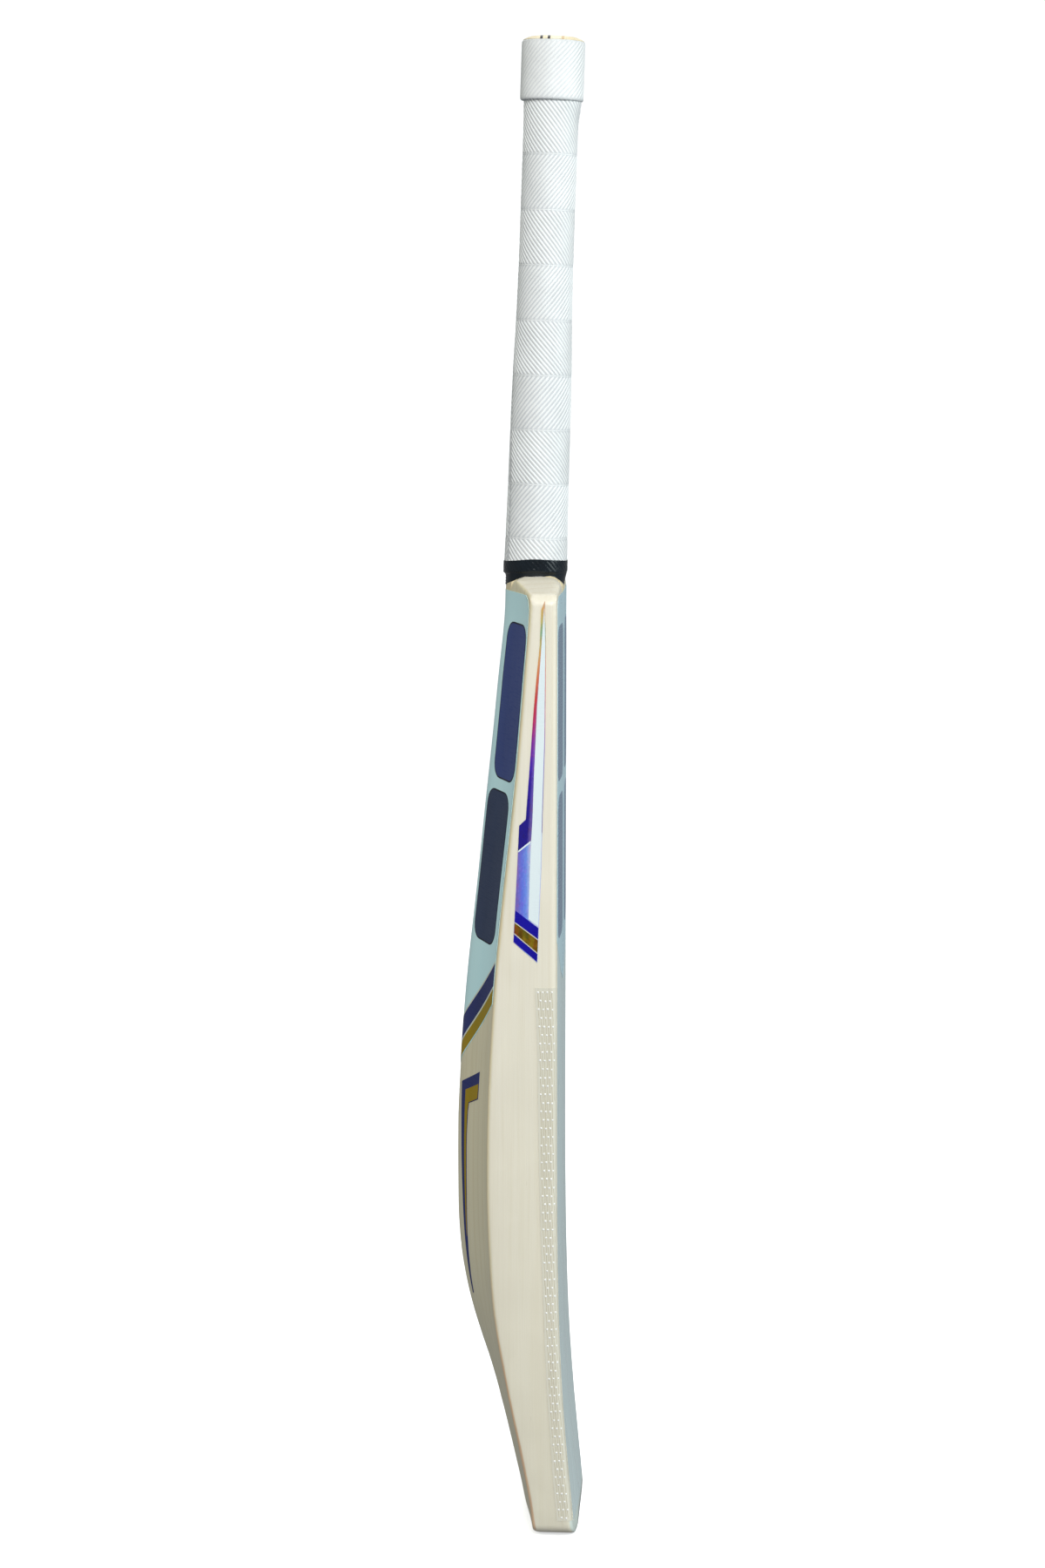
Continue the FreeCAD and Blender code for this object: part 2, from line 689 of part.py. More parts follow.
# Edge flashes: a long tapering foil on each edge, stepping out low down.
edge_shape = [(6.6, 545.5), (8.6, 540.5), (9.4, 521.0), (11.3, 501.5), (13.0, 482.0), (14.3, 462.5), (15.7, 443.0),
              (17.2, 423.0), (20.9, 419.4), (22.1, 393.5), (24.2, 353.0), (10.6, 341.2), (9.7, 364.0), (8.5, 394.0),
              (7.6, 430.0), (6.4, 470.0), (6.0, 520.0)]
edge_shape = [(y + SHIFT, zz) for y, zz in edge_shape]
for side, start in (("left", -60.0), ("right", 50.0)):
    sheet_piece("edge_flash_%s" % side, left_layer if side == "left" else right_layer,
                [outline("edge_flash_%s_shape" % side, "YZ", edge_shape, 10.0, start)])

# ------------------------------------------------------------------- export
doc.recompute()
for obj in doc.Objects:
    if any(w in ("Invalid", "Error") for w in obj.State):
        raise RuntimeError("%s is %s" % (obj.Name, obj.State))
total = 0.0
box = FreeCAD.BoundBox()
for obj in nodes:
    shp = obj.Shape
    if shp.isNull() or not shp.isValid():
        raise RuntimeError(obj.Label)
    shp.exportStep("parts/%s.step" % obj.Label)
    box.add(shp.BoundBox)
    total += shp.Volume
    print("%-18s solids %2d faces %3d volume %10.1f" % (obj.Label, len(shp.Solids), len(shp.Faces), shp.Volume))
print("nodes", len(nodes), "volume", round(total), "box", box)
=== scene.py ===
import bpy, bmesh, math, random
from mathutils import Vector, Matrix
from mathutils.bvhtree import BVHTree


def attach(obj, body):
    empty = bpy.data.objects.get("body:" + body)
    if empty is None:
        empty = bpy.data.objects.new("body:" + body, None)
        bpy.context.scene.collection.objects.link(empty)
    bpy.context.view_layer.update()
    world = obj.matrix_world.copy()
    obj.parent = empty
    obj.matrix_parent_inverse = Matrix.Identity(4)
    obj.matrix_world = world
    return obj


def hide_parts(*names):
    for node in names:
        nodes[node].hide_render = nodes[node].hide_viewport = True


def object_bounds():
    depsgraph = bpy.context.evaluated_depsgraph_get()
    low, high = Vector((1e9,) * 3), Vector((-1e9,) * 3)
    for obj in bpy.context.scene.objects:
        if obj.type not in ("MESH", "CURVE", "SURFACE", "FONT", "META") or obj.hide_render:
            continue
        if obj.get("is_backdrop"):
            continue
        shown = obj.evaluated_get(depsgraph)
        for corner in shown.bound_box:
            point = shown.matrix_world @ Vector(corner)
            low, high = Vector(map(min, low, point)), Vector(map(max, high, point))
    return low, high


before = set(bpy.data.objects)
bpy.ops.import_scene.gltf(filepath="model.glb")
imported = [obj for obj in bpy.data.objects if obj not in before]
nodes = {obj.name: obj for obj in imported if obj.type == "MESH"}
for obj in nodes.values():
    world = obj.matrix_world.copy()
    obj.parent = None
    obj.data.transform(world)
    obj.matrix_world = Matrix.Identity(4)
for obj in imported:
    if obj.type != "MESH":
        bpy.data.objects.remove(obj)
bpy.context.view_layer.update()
random.seed(11)

MM = 0.001
SHIFT = -23.86                      # depth shift between the drawing's y and the frame's y, in mm
TILT = math.radians(1.957)
CT, ST = math.cos(TILT), math.sin(TILT)


# ------------------------------------------------------------------ materials
def lin(c):
    out = []
    for v in c:
        v = v / 255.0
        out.append(v / 12.92 if v <= 0.04045 else ((v + 0.055) / 1.055) ** 2.4)
    return (out[0], out[1], out[2], 1.0)


class G:
    """A small node-graph writer for one material."""

    def __init__(self, name):
        self.m = bpy.data.materials.new(name)
        self.m.use_nodes = True
        self.nt = self.m.node_tree
        self.nt.nodes.clear()
        self.out = self.n("ShaderNodeOutputMaterial")
        self.b = self.n("ShaderNodeBsdfPrincipled")
        self.nt.links.new(self.b.outputs[0], self.out.inputs[0])
        self.tc = self.n("ShaderNodeTexCoord").outputs["Object"]

    def n(self, kind, **props):
        node = self.nt.nodes.new(kind)
        for k, v in props.items():
            setattr(node, k, v)
        return node

    def put(self, socket, v):
        if isinstance(v, bpy.types.NodeSocket):
            self.nt.links.new(v, socket)
        elif v is not None:
            socket.default_value = v

    def map(self, vec=None, scale=(1, 1, 1), loc=(0, 0, 0), rot=(0, 0, 0)):
        x = self.n("ShaderNodeMapping")
        self.put(x.inputs["Vector"], vec or self.tc)
        x.inputs["Scale"].default_value = scale
        x.inputs["Location"].default_value = loc
        x.inputs["Rotation"].default_value = rot
        return x.outputs[0]

    def noise(self, vec=None, scale=5.0, detail=3.0, rough=0.5, dist=0.0, color=False):
        x = self.n("ShaderNodeTexNoise")
        self.put(x.inputs["Vector"], vec or self.tc)
        x.inputs["Scale"].default_value = scale
        x.inputs["Detail"].default_value = detail
        x.inputs["Roughness"].default_value = rough
        x.inputs["Distortion"].default_value = dist
        return x.outputs["Color" if color else "Fac"]

    def vor(self, vec=None, scale=5.0, feature="F1", rand=1.0):
        x = self.n("ShaderNodeTexVoronoi", feature=feature)
        self.put(x.inputs["Vector"], vec or self.tc)
        x.inputs["Scale"].default_value = scale
        x.inputs["Randomness"].default_value = rand
        return x.outputs["Distance"]

    def ramp(self, fac, stops, interp="LINEAR"):
        x = self.n("ShaderNodeValToRGB")
        x.color_ramp.interpolation = interp
        el = x.color_ramp.elements
        while len(el) > 1:
            el.remove(el[-1])
        el[0].position = stops[0][0]
        el[0].color = stops[0][1]
        for p, c in stops[1:]:
            e = el.new(p)
            e.color = c
        self.put(x.inputs[0], fac)
        return x.outputs[0]

    def mix(self, fac, a, b, blend="MIX"):
        x = self.n("ShaderNodeMix", data_type="RGBA", blend_type=blend)
        self.put(x.inputs[0], fac)
        self.put(x.inputs[6], a)
        self.put(x.inputs[7], b)
        return x.outputs[2]

    def math(self, op, a, b=None, c=None, clamp=False):
        x = self.n("ShaderNodeMath", operation=op, use_clamp=clamp)
        self.put(x.inputs[0], a)
        if b is not None:
            self.put(x.inputs[1], b)
        if c is not None:
            self.put(x.inputs[2], c)
        return x.outputs[0]

    def rng(self, v, a, b, c=0.0, d=1.0, kind="LINEAR"):
        x = self.n("ShaderNodeMapRange", interpolation_type=kind, clamp=True)
        self.put(x.inputs["Value"], v)
        x.inputs["From Min"].default_value = a
        x.inputs["From Max"].default_value = b
        x.inputs["To Min"].default_value = c
        x.inputs["To Max"].default_value = d
        return x.outputs["Result"]

    def sep(self, vec=None):
        x = self.n("ShaderNodeSeparateXYZ")
        self.put(x.inputs[0], vec or self.tc)
        return x.outputs[0], x.outputs[1], x.outputs[2]

    def attr(self, name):
        x = self.n("ShaderNodeAttribute", attribute_name=name)
        return x.outputs["Fac"]

    def curve(self, v, pts):
        """A one-dimensional function of v, both in 0..1."""
        x = self.n("ShaderNodeFloatCurve")
        cv = x.mapping.curves[0]
        cv.points[0].location = pts[0]
        cv.points[1].location = pts[-1]
        for p in pts[1:-1]:
            cv.points.new(p[0], p[1])
        x.mapping.update()
        self.put(x.inputs["Value"], v)
        return x.outputs[0]

    def bump(self, height, dist=0.0001, strength=1.0, normal=None):
        x = self.n("ShaderNodeBump")
        x.inputs["Strength"].default_value = strength
        x.inputs["Distance"].default_value = dist
        self.put(x.inputs["Height"], height)
        if normal is not None:
            self.put(x.inputs["Normal"], normal)
        return x.outputs[0]

    def set(self, **kw):
        names = {"color": "Base Color", "rough": "Roughness", "metal": "Metallic", "normal": "Normal",
                 "spec": "Specular IOR Level", "coat": "Coat Weight", "coat_rough": "Coat Roughness",
                 "sheen": "Sheen Weight", "sss": "Subsurface Weight", "ior": "IOR", "coat_normal": "Coat Normal",
                 "sheen_rough": "Sheen Roughness", "aniso": "Anisotropic"}
        for k, v in kw.items():
            self.put(self.b.inputs[names[k]], v)
        return self


# stations of the blade: height, back-corner y, in mm
BACK_CORNER = [(0, 12.4), (24, 15.6), (50, 20.5), (78, 26.2), (106, 31.5), (140, 36.5), (185, 39.2), (240, 39.5),
               (305, 36.7), (390, 29.0), (475, 20.5), (562, 14.4)]


def willow_grain(g):
    """Willow: long straight fibres, growth lines down the length, and soft warm and cool patches."""
    x, y, z = g.sep()
    warp = g.noise(g.map(scale=(9, 9, 2.2)), 1.0, 2.0, 0.5)
    patch = g.noise(g.map(scale=(16, 16, 4.5)), 1.0, 3.0, 0.55)
    fibre = g.noise(g.map(scale=(520, 520, 9)), 1.0, 4.0, 0.62, 0.25)
    streak = g.noise(g.map(scale=(150, 150, 3.0)), 1.0, 3.0, 0.55, 0.15)
    fine = g.noise(g.map(scale=(2300, 2300, 60)), 1.0, 2.0, 0.6)
    # growth lines about 9 mm apart across the face
    ring_u = g.math("ADD", g.math("MULTIPLY", x, 118.0), g.math("MULTIPLY", warp, 1.5))
    ring_u = g.math("ADD", ring_u, g.math("MULTIPLY", y, 22.0))
    ring = g.math("FRACT", ring_u)
    ring = g.curve(ring, [(0, 0.15), (0.55, 0.2), (0.86, 0.55), (0.95, 1.0), (1.0, 0.15)])
    base = g.ramp(patch, [(0.30, lin((226, 220, 203))), (0.5, lin((230, 225, 209))), (0.72, lin((224, 220, 205)))])
    col = g.mix(g.rng(streak, 0.42, 0.70, 0.0, 0.26), base, lin((217, 209, 184)))
    col = g.mix(g.rng(fibre, 0.50, 0.78, 0.0, 0.36), col, lin((207, 198, 170)))
    side = g.rng(g.math("ABSOLUTE", x), 0.0515, 0.0535, 0.26, 0.05)
    col = g.mix(g.math("MULTIPLY", ring, side), col, lin((201, 183, 148)))
    col = g.mix(g.rng(fibre, 0.40, 0.18, 0.0, 0.35), col, lin((244, 240, 224)))
    # short dark flecks that run with the fibres
    fleck = g.vor(g.map(scale=(420, 420, 52)), 1.0)
    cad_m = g.math("MULTIPLY", g.rng(fleck, 0.10, 0.03, 0.0, 1.0), g.rng(g.noise(g.map(scale=(40, 40, 12)), 1.0, 2.0), 0.52, 0.66))
    col = g.mix(g.math("MULTIPLY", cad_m, 0.35), col, lin((150, 124, 88)))
    return col, fibre, fine, ring, streak


def make_willow():
    g = G("willow_blade")
    x, y, z = g.sep()
    col, fibre, fine, ring, streak = willow_grain(g)
    # how far a point lies in front of the back corner, from the corner's line
    zn = g.math("DIVIDE", z, 0.562, clamp=True)
    cy = g.curve(zn, [(a / 562.0, b / 60.0) for a, b in BACK_CORNER])
    cy = g.math("ADD", g.math("MULTIPLY", cy, 0.060), SHIFT * MM)
    d = g.math("SUBTRACT", cy, y)
    wob = g.math("MULTIPLY", g.math("SUBTRACT", g.noise(g.map(scale=(4, 4, 26)), 1.0, 3.0), 0.5), 0.0009)
    d = g.math("ADD", d, wob)
    onedge = g.rng(g.math("ABSOLUTE", x), 0.0505, 0.0535)
    # a thin warm line along the corner
    line = g.math("MULTIPLY", g.rng(d, 0.0015, 0.0005), g.rng(d, -0.0010, 0.0))
    line = g.math("MULTIPLY", line, onedge)
    col = g.mix(g.math("MULTIPLY", line, 0.30), col, lin((226, 188, 142)))
    # brown heartwood that comes in at the corner towards the toe
    low = g.rng(z, 0.165, 0.095)
    w = g.rng(z, 0.170, 0.0, 0.0013, 0.0019)
    heart = g.math("SUBTRACT", w, d)
    heart = g.rng(heart, -0.00015, 0.0003)
    heart = g.math("MULTIPLY", heart, g.rng(d, -0.0009, -0.0001))
    heart = g.math("MULTIPLY", g.math("MULTIPLY", heart, low), onedge)
    brown = g.mix(g.rng(fibre, 0.35, 0.65), lin((204, 140, 100)), lin((222, 170, 132)))
    col = g.mix(g.math("MULTIPLY", heart, 0.95), col, brown)
    # painted shade: surfaces that face the back are tinted slightly warmer and yellower, like the back's shade
    geo = g.n("ShaderNodeNewGeometry")
    nx, ny, nz = g.sep(geo.outputs["Normal"])
    col = g.mix(g.rng(ny, 0.25, 0.60), col, g.mix(1.0, col, lin((255, 253, 234)), "MULTIPLY"))
    # the toe's face is sealed in the same cool tone as the sheet above it
    seal = g.math("MULTIPLY", g.rng(ny, -0.30, -0.65), g.rng(z, 0.0130, 0.0120))
    col = g.mix(g.math("MULTIPLY", seal, 0.86), col, lin((200, 224, 228)))
    # painted shade: slight darkening towards the toe, where less light falls
    col = g.mix(g.rng(z, 0.34, 0.02, 0.0, 0.42), col, lin((204, 201, 180)))
    h = g.math("ADD", g.math("MULTIPLY", fibre, 0.7), g.math("MULTIPLY", fine, 0.5))
    h = g.math("SUBTRACT", h, g.math("MULTIPLY", ring, 0.25))
    nrm = g.bump(h, 0.00012, 0.55)
    g.set(color=col, rough=g.rng(fibre, 0.3, 0.75, 0.36, 0.52), normal=nrm, spec=0.42, coat=0.16, coat_rough=0.28)
    return g.m


def make_sheet():
    """Clear protective film over the willow: a cool gloss with a very fine scrim."""
    g = G("clear_sheet")
    x, y, z = g.sep()
    col, fibre, fine, ring, streak = willow_grain(g)
    wood = col
    col = g.mix(0.86, col, lin((200, 224, 228)))
    wx = g.math("SINE", g.math("MULTIPLY", g.math("ADD", x, z), 2 * math.pi / 0.0011))
    wz = g.math("SINE", g.math("MULTIPLY", g.math("SUBTRACT", x, z), 2 * math.pi / 0.0011))
    weave = g.math("MULTIPLY", g.math("ADD", wx, wz), 0.25)
    col = g.mix(g.math("ADD", 0.10, g.math("MULTIPLY", weave, 0.10)), col, lin((232, 240, 240)))
    ripple = g.noise(g.map(scale=(30, 30, 9)), 1.0, 3.0, 0.5)
    geo = g.n("ShaderNodeNewGeometry")
    nx, ny, nz = g.sep(geo.outputs["Normal"])
    col = g.mix(g.rng(g.math("ABSOLUTE", nx), 0.30, 0.85), col, wood)
    nrm = g.bump(g.math("ADD", ripple, g.math("MULTIPLY", weave, 0.05)), 0.0005, 0.5)
    g.set(color=col, rough=g.rng(ripple, 0.3, 0.7, 0.24, 0.34), normal=nrm, spec=0.5, coat=0.25, coat_rough=0.15)
    return g.m


def make_vinyl(name, c, c2=None, rough=0.26, coat=0.0, var=0.10, peel=0.00006, dark=None, spec=0.22):
    """Printed vinyl: gloss with a faint orange peel, and the print's slight unevenness."""
    g = G(name)
    c2 = c2 or tuple(min(255, int(v * 1.06 + 4)) for v in c)
    dark = dark or tuple(int(v * 0.86) for v in c)
    big = g.noise(g.map(scale=(34, 34, 12)), 1.0, 3.0, 0.55)
    speck = g.noise(g.map(scale=(2600, 2600, 2600)), 1.0, 2.0, 0.6)
    scr = g.noise(g.map(scale=(90, 90, 1500)), 1.0, 2.0, 0.6)
    col = g.mix(g.rng(big, 0.3, 0.7), lin(c), lin(c2))
    col = g.mix(g.rng(speck, 0.45, 0.8, 0.0, var), col, lin(dark))
    peel_n = g.noise(g.map(scale=(420, 420, 300)), 1.0, 3.0, 0.55)
    nrm = g.bump(g.math("ADD", peel_n, g.math("MULTIPLY", big, 2.0)), peel, 0.6)
    r = g.math("ADD", g.rng(scr, 0.5, 0.75, rough, rough + 0.12), g.rng(big, 0.3, 0.7, -0.03, 0.03))
    g.set(color=col, rough=r, normal=nrm, spec=spec, coat=coat, coat_rough=0.10)
    return g.m


def make_foil():
    """Rainbow foil on the edge: the hue runs with height and breaks up in small facets."""
    g = G("rainbow_foil")
    x, y, z = g.sep()
    n1 = g.noise(g.map(scale=(90, 90, 60)), 1.0, 4.0, 0.6)
    cell = g.noise(g.map(scale=(900, 900, 500)), 1.0, 3.0, 0.6)
    zz = g.math("ADD", z, g.math("MULTIPLY", g.math("SUBTRACT", n1, 0.5), 0.010))
    zz = g.math("ADD", zz, g.math("MULTIPLY", y, 0.25))
    zz = g.math("ADD", zz, 0.0020)
    u = g.rng(zz, 0.335, 0.550)

    def at(h):
        return (h / 1000.0 - 0.335) / 0.215

    ramp = g.ramp(u, [
        (at(364), lin((84, 112, 246))), (at(376), lin((88, 120, 248))), (at(388), lin((98, 118, 240))),
        (at(399), lin((124, 118, 214))), (at(404), lin((122, 116, 204))), (at(406), lin((30, 18, 140))),
        (at(424), lin((30, 14, 146))), (at(440), lin((44, 18, 168))), (at(452), lin((70, 30, 184))),
        (at(462), lin((118, 42, 178))), (at(472), lin((170, 42, 136))), (at(481), lin((204, 44, 84))),
        (at(490), lin((212, 66, 52))), (at(500), lin((224, 112, 48))), (at(510), lin((236, 160, 52))),
        (at(518), lin((206, 196, 72))), (at(525), lin((128, 186, 112))), (at(532), lin((208, 198, 76))),
        (at(540), lin((236, 186, 52))), (at(549), lin((240, 208, 100)))])
    # towards the white strip the foil pales; low down it runs from grey violet through blue to pale blue
    edge_y = g.math("MULTIPLY_ADD", z, -58.5 * MM, (13.6 + 423 * 0.0585 + SHIFT) * MM)
    near = g.rng(g.math("SUBTRACT", y, edge_y), 0.0022, 0.0003)
    ramp = g.mix(g.math("MULTIPLY", near, 0.30), ramp, lin((196, 170, 240)))
    zl = g.math("MULTIPLY_ADD", y, 0.8235, -0.8235 * (14.5 + SHIFT) * MM)
    low = g.rng(g.math("ADD", z, zl), 0.4106, 0.4100)
    across = g.ramp(g.rng(y, (22.0 + SHIFT) * MM, (14.6 + SHIFT) * MM), [
        (0.0, lin((132, 110, 196))), (0.35, lin((108, 124, 240))), (0.7, lin((122, 164, 255))), (1.0, lin((204, 222, 252)))])
    ramp = g.mix(g.math("MULTIPLY", low, 0.85), ramp, across)
    spark = g.rng(cell, 0.55, 0.72, 0.0, 0.5)
    col = g.mix(spark, ramp, lin((250, 246, 232)), "SOFT_LIGHT")
    col = g.mix(g.rng(cell, 0.45, 0.25, 0.0, 0.22), col, lin((20, 10, 80)))
    col = g.mix(g.rng(g.noise(g.map(scale=(700, 700, 260)), 1.0, 2.0), 0.52, 0.66, 0.0, 0.55), col, g.mix(0.5, ramp, lin((255, 150, 90)), "OVERLAY"))
    nrm = g.bump(g.math("ADD", cell, g.math("MULTIPLY", n1, 2.0)), 0.00010, 0.5)
    g.set(color=col, metal=0.35, rough=g.rng(n1, 0.3, 0.7, 0.24, 0.38), normal=nrm, coat=0.2, coat_rough=0.10)
    return g.m


def make_fibre_tape():
    """Fibre tape on the edge: cloudy film with fine threads through it."""
    g = G("fibre_tape")
    x, y, z = g.sep()
    col, fibre, fine, ring, streak = willow_grain(g)
    col = g.mix(0.50, col, lin((206, 206, 192)))
    thread = g.noise(g.map(scale=(300, 1400, 16)), 1.0, 3.0, 0.6)
    cross = g.noise(g.map(scale=(300, 30, 1100)), 1.0, 2.0, 0.6)
    col = g.mix(g.rng(thread, 0.5, 0.75, 0.0, 0.28), col, lin((182, 176, 154)))
    col = g.mix(g.rng(cross, 0.55, 0.75, 0.0, 0.12), col, lin((232, 230, 220)))
    cloud = g.noise(g.map(scale=(50, 50, 28)), 1.0, 3.0)
    nrm = g.bump(g.math("ADD", thread, g.math("MULTIPLY", cloud, 2.0)), 0.00012, 0.5)
    g.set(color=col, rough=g.rng(cloud, 0.3, 0.7, 0.28, 0.42), normal=nrm, coat=0.35, coat_rough=0.2)
    return g.m


def make_rubber(name="grip_rubber", c=(236, 239, 239), groove_dust_and_shade=(208, 212, 215)):
    """White moulded rubber: matt, darker in the grooves, partly dust and partly painted shade."""
    g = G(name)
    dust = g.noise(g.map(scale=(60, 60, 60)), 1.0, 4.0, 0.6)
    grit = g.noise(g.map(scale=(3000, 3000, 3000)), 1.0, 2.0, 0.6)
    top = g.mix(g.rng(dust, 0.35, 0.7), lin(c), lin(tuple(int(v * 0.965) for v in c)))
    # groove tone where the rise attribute is low: dust plus painted shade in the recesses between the ribs
    low = g.mix(g.rng(dust, 0.35, 0.7), lin(groove_dust_and_shade), lin(tuple(int(v * 0.94) for v in groove_dust_and_shade)))
    k = g.attr("rise")
    col = g.mix(g.rng(k, 0.05, 0.75), low, top)
    col = g.mix(g.rng(grit, 0.62, 0.80, 0.0, 0.10), col, lin((150, 150, 150)))
    nrm = g.bump(g.math("ADD", grit, g.math("MULTIPLY", dust, 0.5)), 0.00005, 0.5)
    g.set(color=col, rough=g.rng(dust, 0.3, 0.7, 0.46, 0.60), normal=nrm, spec=0.40)
    return g.m


def make_black_tape():
    g = G("black_tape")
    big = g.noise(g.map(scale=(70, 70, 70)), 1.0, 3.0, 0.55)
    fine = g.noise(g.map(scale=(1500, 1500, 500)), 1.0, 3.0, 0.6)
    crease = g.noise(g.map(scale=(60, 60, 420)), 1.0, 3.0, 0.55, 0.4)
    col = g.mix(g.rng(big, 0.3, 0.7), lin((11, 18, 24)), lin((20, 29, 37)))
    col = g.mix(g.rng(fine, 0.58, 0.78, 0.0, 0.35), col, lin((34, 42, 52)))
    nrm = g.bump(g.math("ADD", crease, g.math("MULTIPLY", fine, 0.15)), 0.0005, 0.45)
    g.set(color=col, rough=g.rng(big, 0.3, 0.7, 0.18, 0.30), normal=nrm, spec=0.30)
    return g.m


def make_toe():
    g = G("toe_rubber")
    big = g.noise(g.map(scale=(80, 80, 80)), 1.0, 3.0, 0.55)
    fine = g.noise(g.map(scale=(2200, 2200, 2200)), 1.0, 3.0, 0.6)
    col = g.mix(g.rng(big, 0.3, 0.7), lin((44, 44, 46)), lin((62, 61, 60)))
    col = g.mix(g.rng(fine, 0.6, 0.8, 0.0, 0.4), col, lin((110, 106, 98)))
    g.set(color=col, rough=0.62, normal=g.bump(fine, 0.00006, 0.6), spec=0.35)
    return g.m


def make_cane(name="cane", warm=(226, 206, 160)):
    g = G(name)
    fib = g.noise(g.map(scale=(1500, 1500, 40)), 1.0, 3.0, 0.6)
    pore = g.vor(g.map(scale=(1900, 1900, 60)), 1.0)
    big = g.noise(g.map(scale=(60, 60, 10)), 1.0, 2.0, 0.5)
    col = g.mix(g.rng(fib, 0.35, 0.7), lin(warm), lin(tuple(int(v * 0.88) for v in warm)))
    col = g.mix(g.rng(pore, 0.22, 0.08, 0.0, 0.5), col, lin((128, 98, 60)))
    col = g.mix(g.rng(big, 0.4, 0.7, 0.0, 0.3), col, lin((238, 224, 188)))
    g.set(color=col, rough=0.5, normal=g.bump(g.math("ADD", fib, pore), 0.00008, 0.6), spec=0.4)
    return g.m


def make_cane_end():
    """The rounded end of the handle: cane with the ends of the black and cork strips across it."""
    g = G("cane_end")
    x, y, z = g.sep()
    dots = g.vor(g.map(scale=(1300, 1300, 1300)), 1.0)
    big = g.noise(g.map(scale=(120, 120, 120)), 1.0, 2.0, 0.5)
    col = g.mix(g.rng(big, 0.35, 0.7), lin((238, 228, 200)), lin((226, 212, 176)))
    col = g.mix(g.rng(dots, 0.30, 0.12, 0.0, 0.45), col, lin((170, 138, 92)))
    for y0, y1, c in ((5.25, 6.75, (26, 24, 24)), (1.05, 2.55, (26, 24, 24)), (-6.55, -5.05, (206, 180, 140))):
        a, b = (-8.66 + v * CT - 298.0 * ST for v in (y0, y1))
        m = g.math("MULTIPLY", g.rng(y, (a - 0.08) * MM, (a + 0.08) * MM), g.rng(y, (b + 0.08) * MM, (b - 0.08) * MM))
        col = g.mix(m, col, lin(c))
    g.set(color=col, rough=0.5, normal=g.bump(dots, 0.00006, 0.5), spec=0.4)
    return g.m


def make_strip(name, c, c2, speck):
    g = G(name)
    big = g.noise(g.map(scale=(300, 300, 60)), 1.0, 3.0, 0.55)
    fine = g.vor(g.map(scale=(1500, 1500, 900)), 1.0)
    col = g.mix(g.rng(big, 0.3, 0.7), lin(c), lin(c2))
    col = g.mix(g.rng(fine, 0.28, 0.10, 0.0, 0.6), col, lin(speck))
    g.set(color=col, rough=0.7, normal=g.bump(fine, 0.0001, 0.6), spec=0.3)
    return g.m


def make_twine():
    g = G("twine")
    x, y, z = g.sep()
    turn = g.math("SINE", g.math("MULTIPLY", z, 2 * math.pi / 0.0008))
    lay = g.noise(g.map(scale=(900, 900, 2500)), 1.0, 3.0, 0.6)
    col = g.mix(g.rng(turn, -1.0, 1.0), lin((150, 132, 98)), lin((216, 202, 168)))
    col = g.mix(g.rng(lay, 0.45, 0.7, 0.0, 0.4), col, lin((180, 160, 120)))
    g.set(color=col, rough=0.8, normal=g.bump(g.math("ADD", turn, lay), 0.0003, 0.6), spec=0.25, sheen=0.2)
    return g.m


def make_gold_foil():
    """Gold foil band on the edge: it turns orange and green from place to place."""
    g = G("gold_foil")
    n1 = g.noise(g.map(scale=(120, 300, 160)), 1.0, 3.0, 0.6)
    n2 = g.noise(g.map(loc=(3, 1, 7), scale=(120, 380, 200)), 1.0, 2.0, 0.5)
    cell = g.noise(g.map(scale=(900, 900, 500)), 1.0, 3.0, 0.6)
    col = g.mix(g.rng(n1, 0.35, 0.65), lin((96, 70, 8)), lin((142, 118, 20)))
    col = g.mix(g.rng(n2, 0.54, 0.64, 0.0, 0.65), col, lin((150, 60, 18)))
    col = g.mix(g.rng(n2, 0.44, 0.34, 0.0, 0.45), col, lin((74, 92, 24)))
    col = g.mix(g.rng(cell, 0.45, 0.25, 0.0, 0.4), col, lin((40, 26, 6)))
    nrm = g.bump(g.math("ADD", cell, g.math("MULTIPLY", n1, 2.0)), 0.00008, 0.5)
    g.set(color=col, metal=0.3, rough=0.34, normal=nrm, spec=0.2, coat=0.1, coat_rough=0.12)
    return g.m


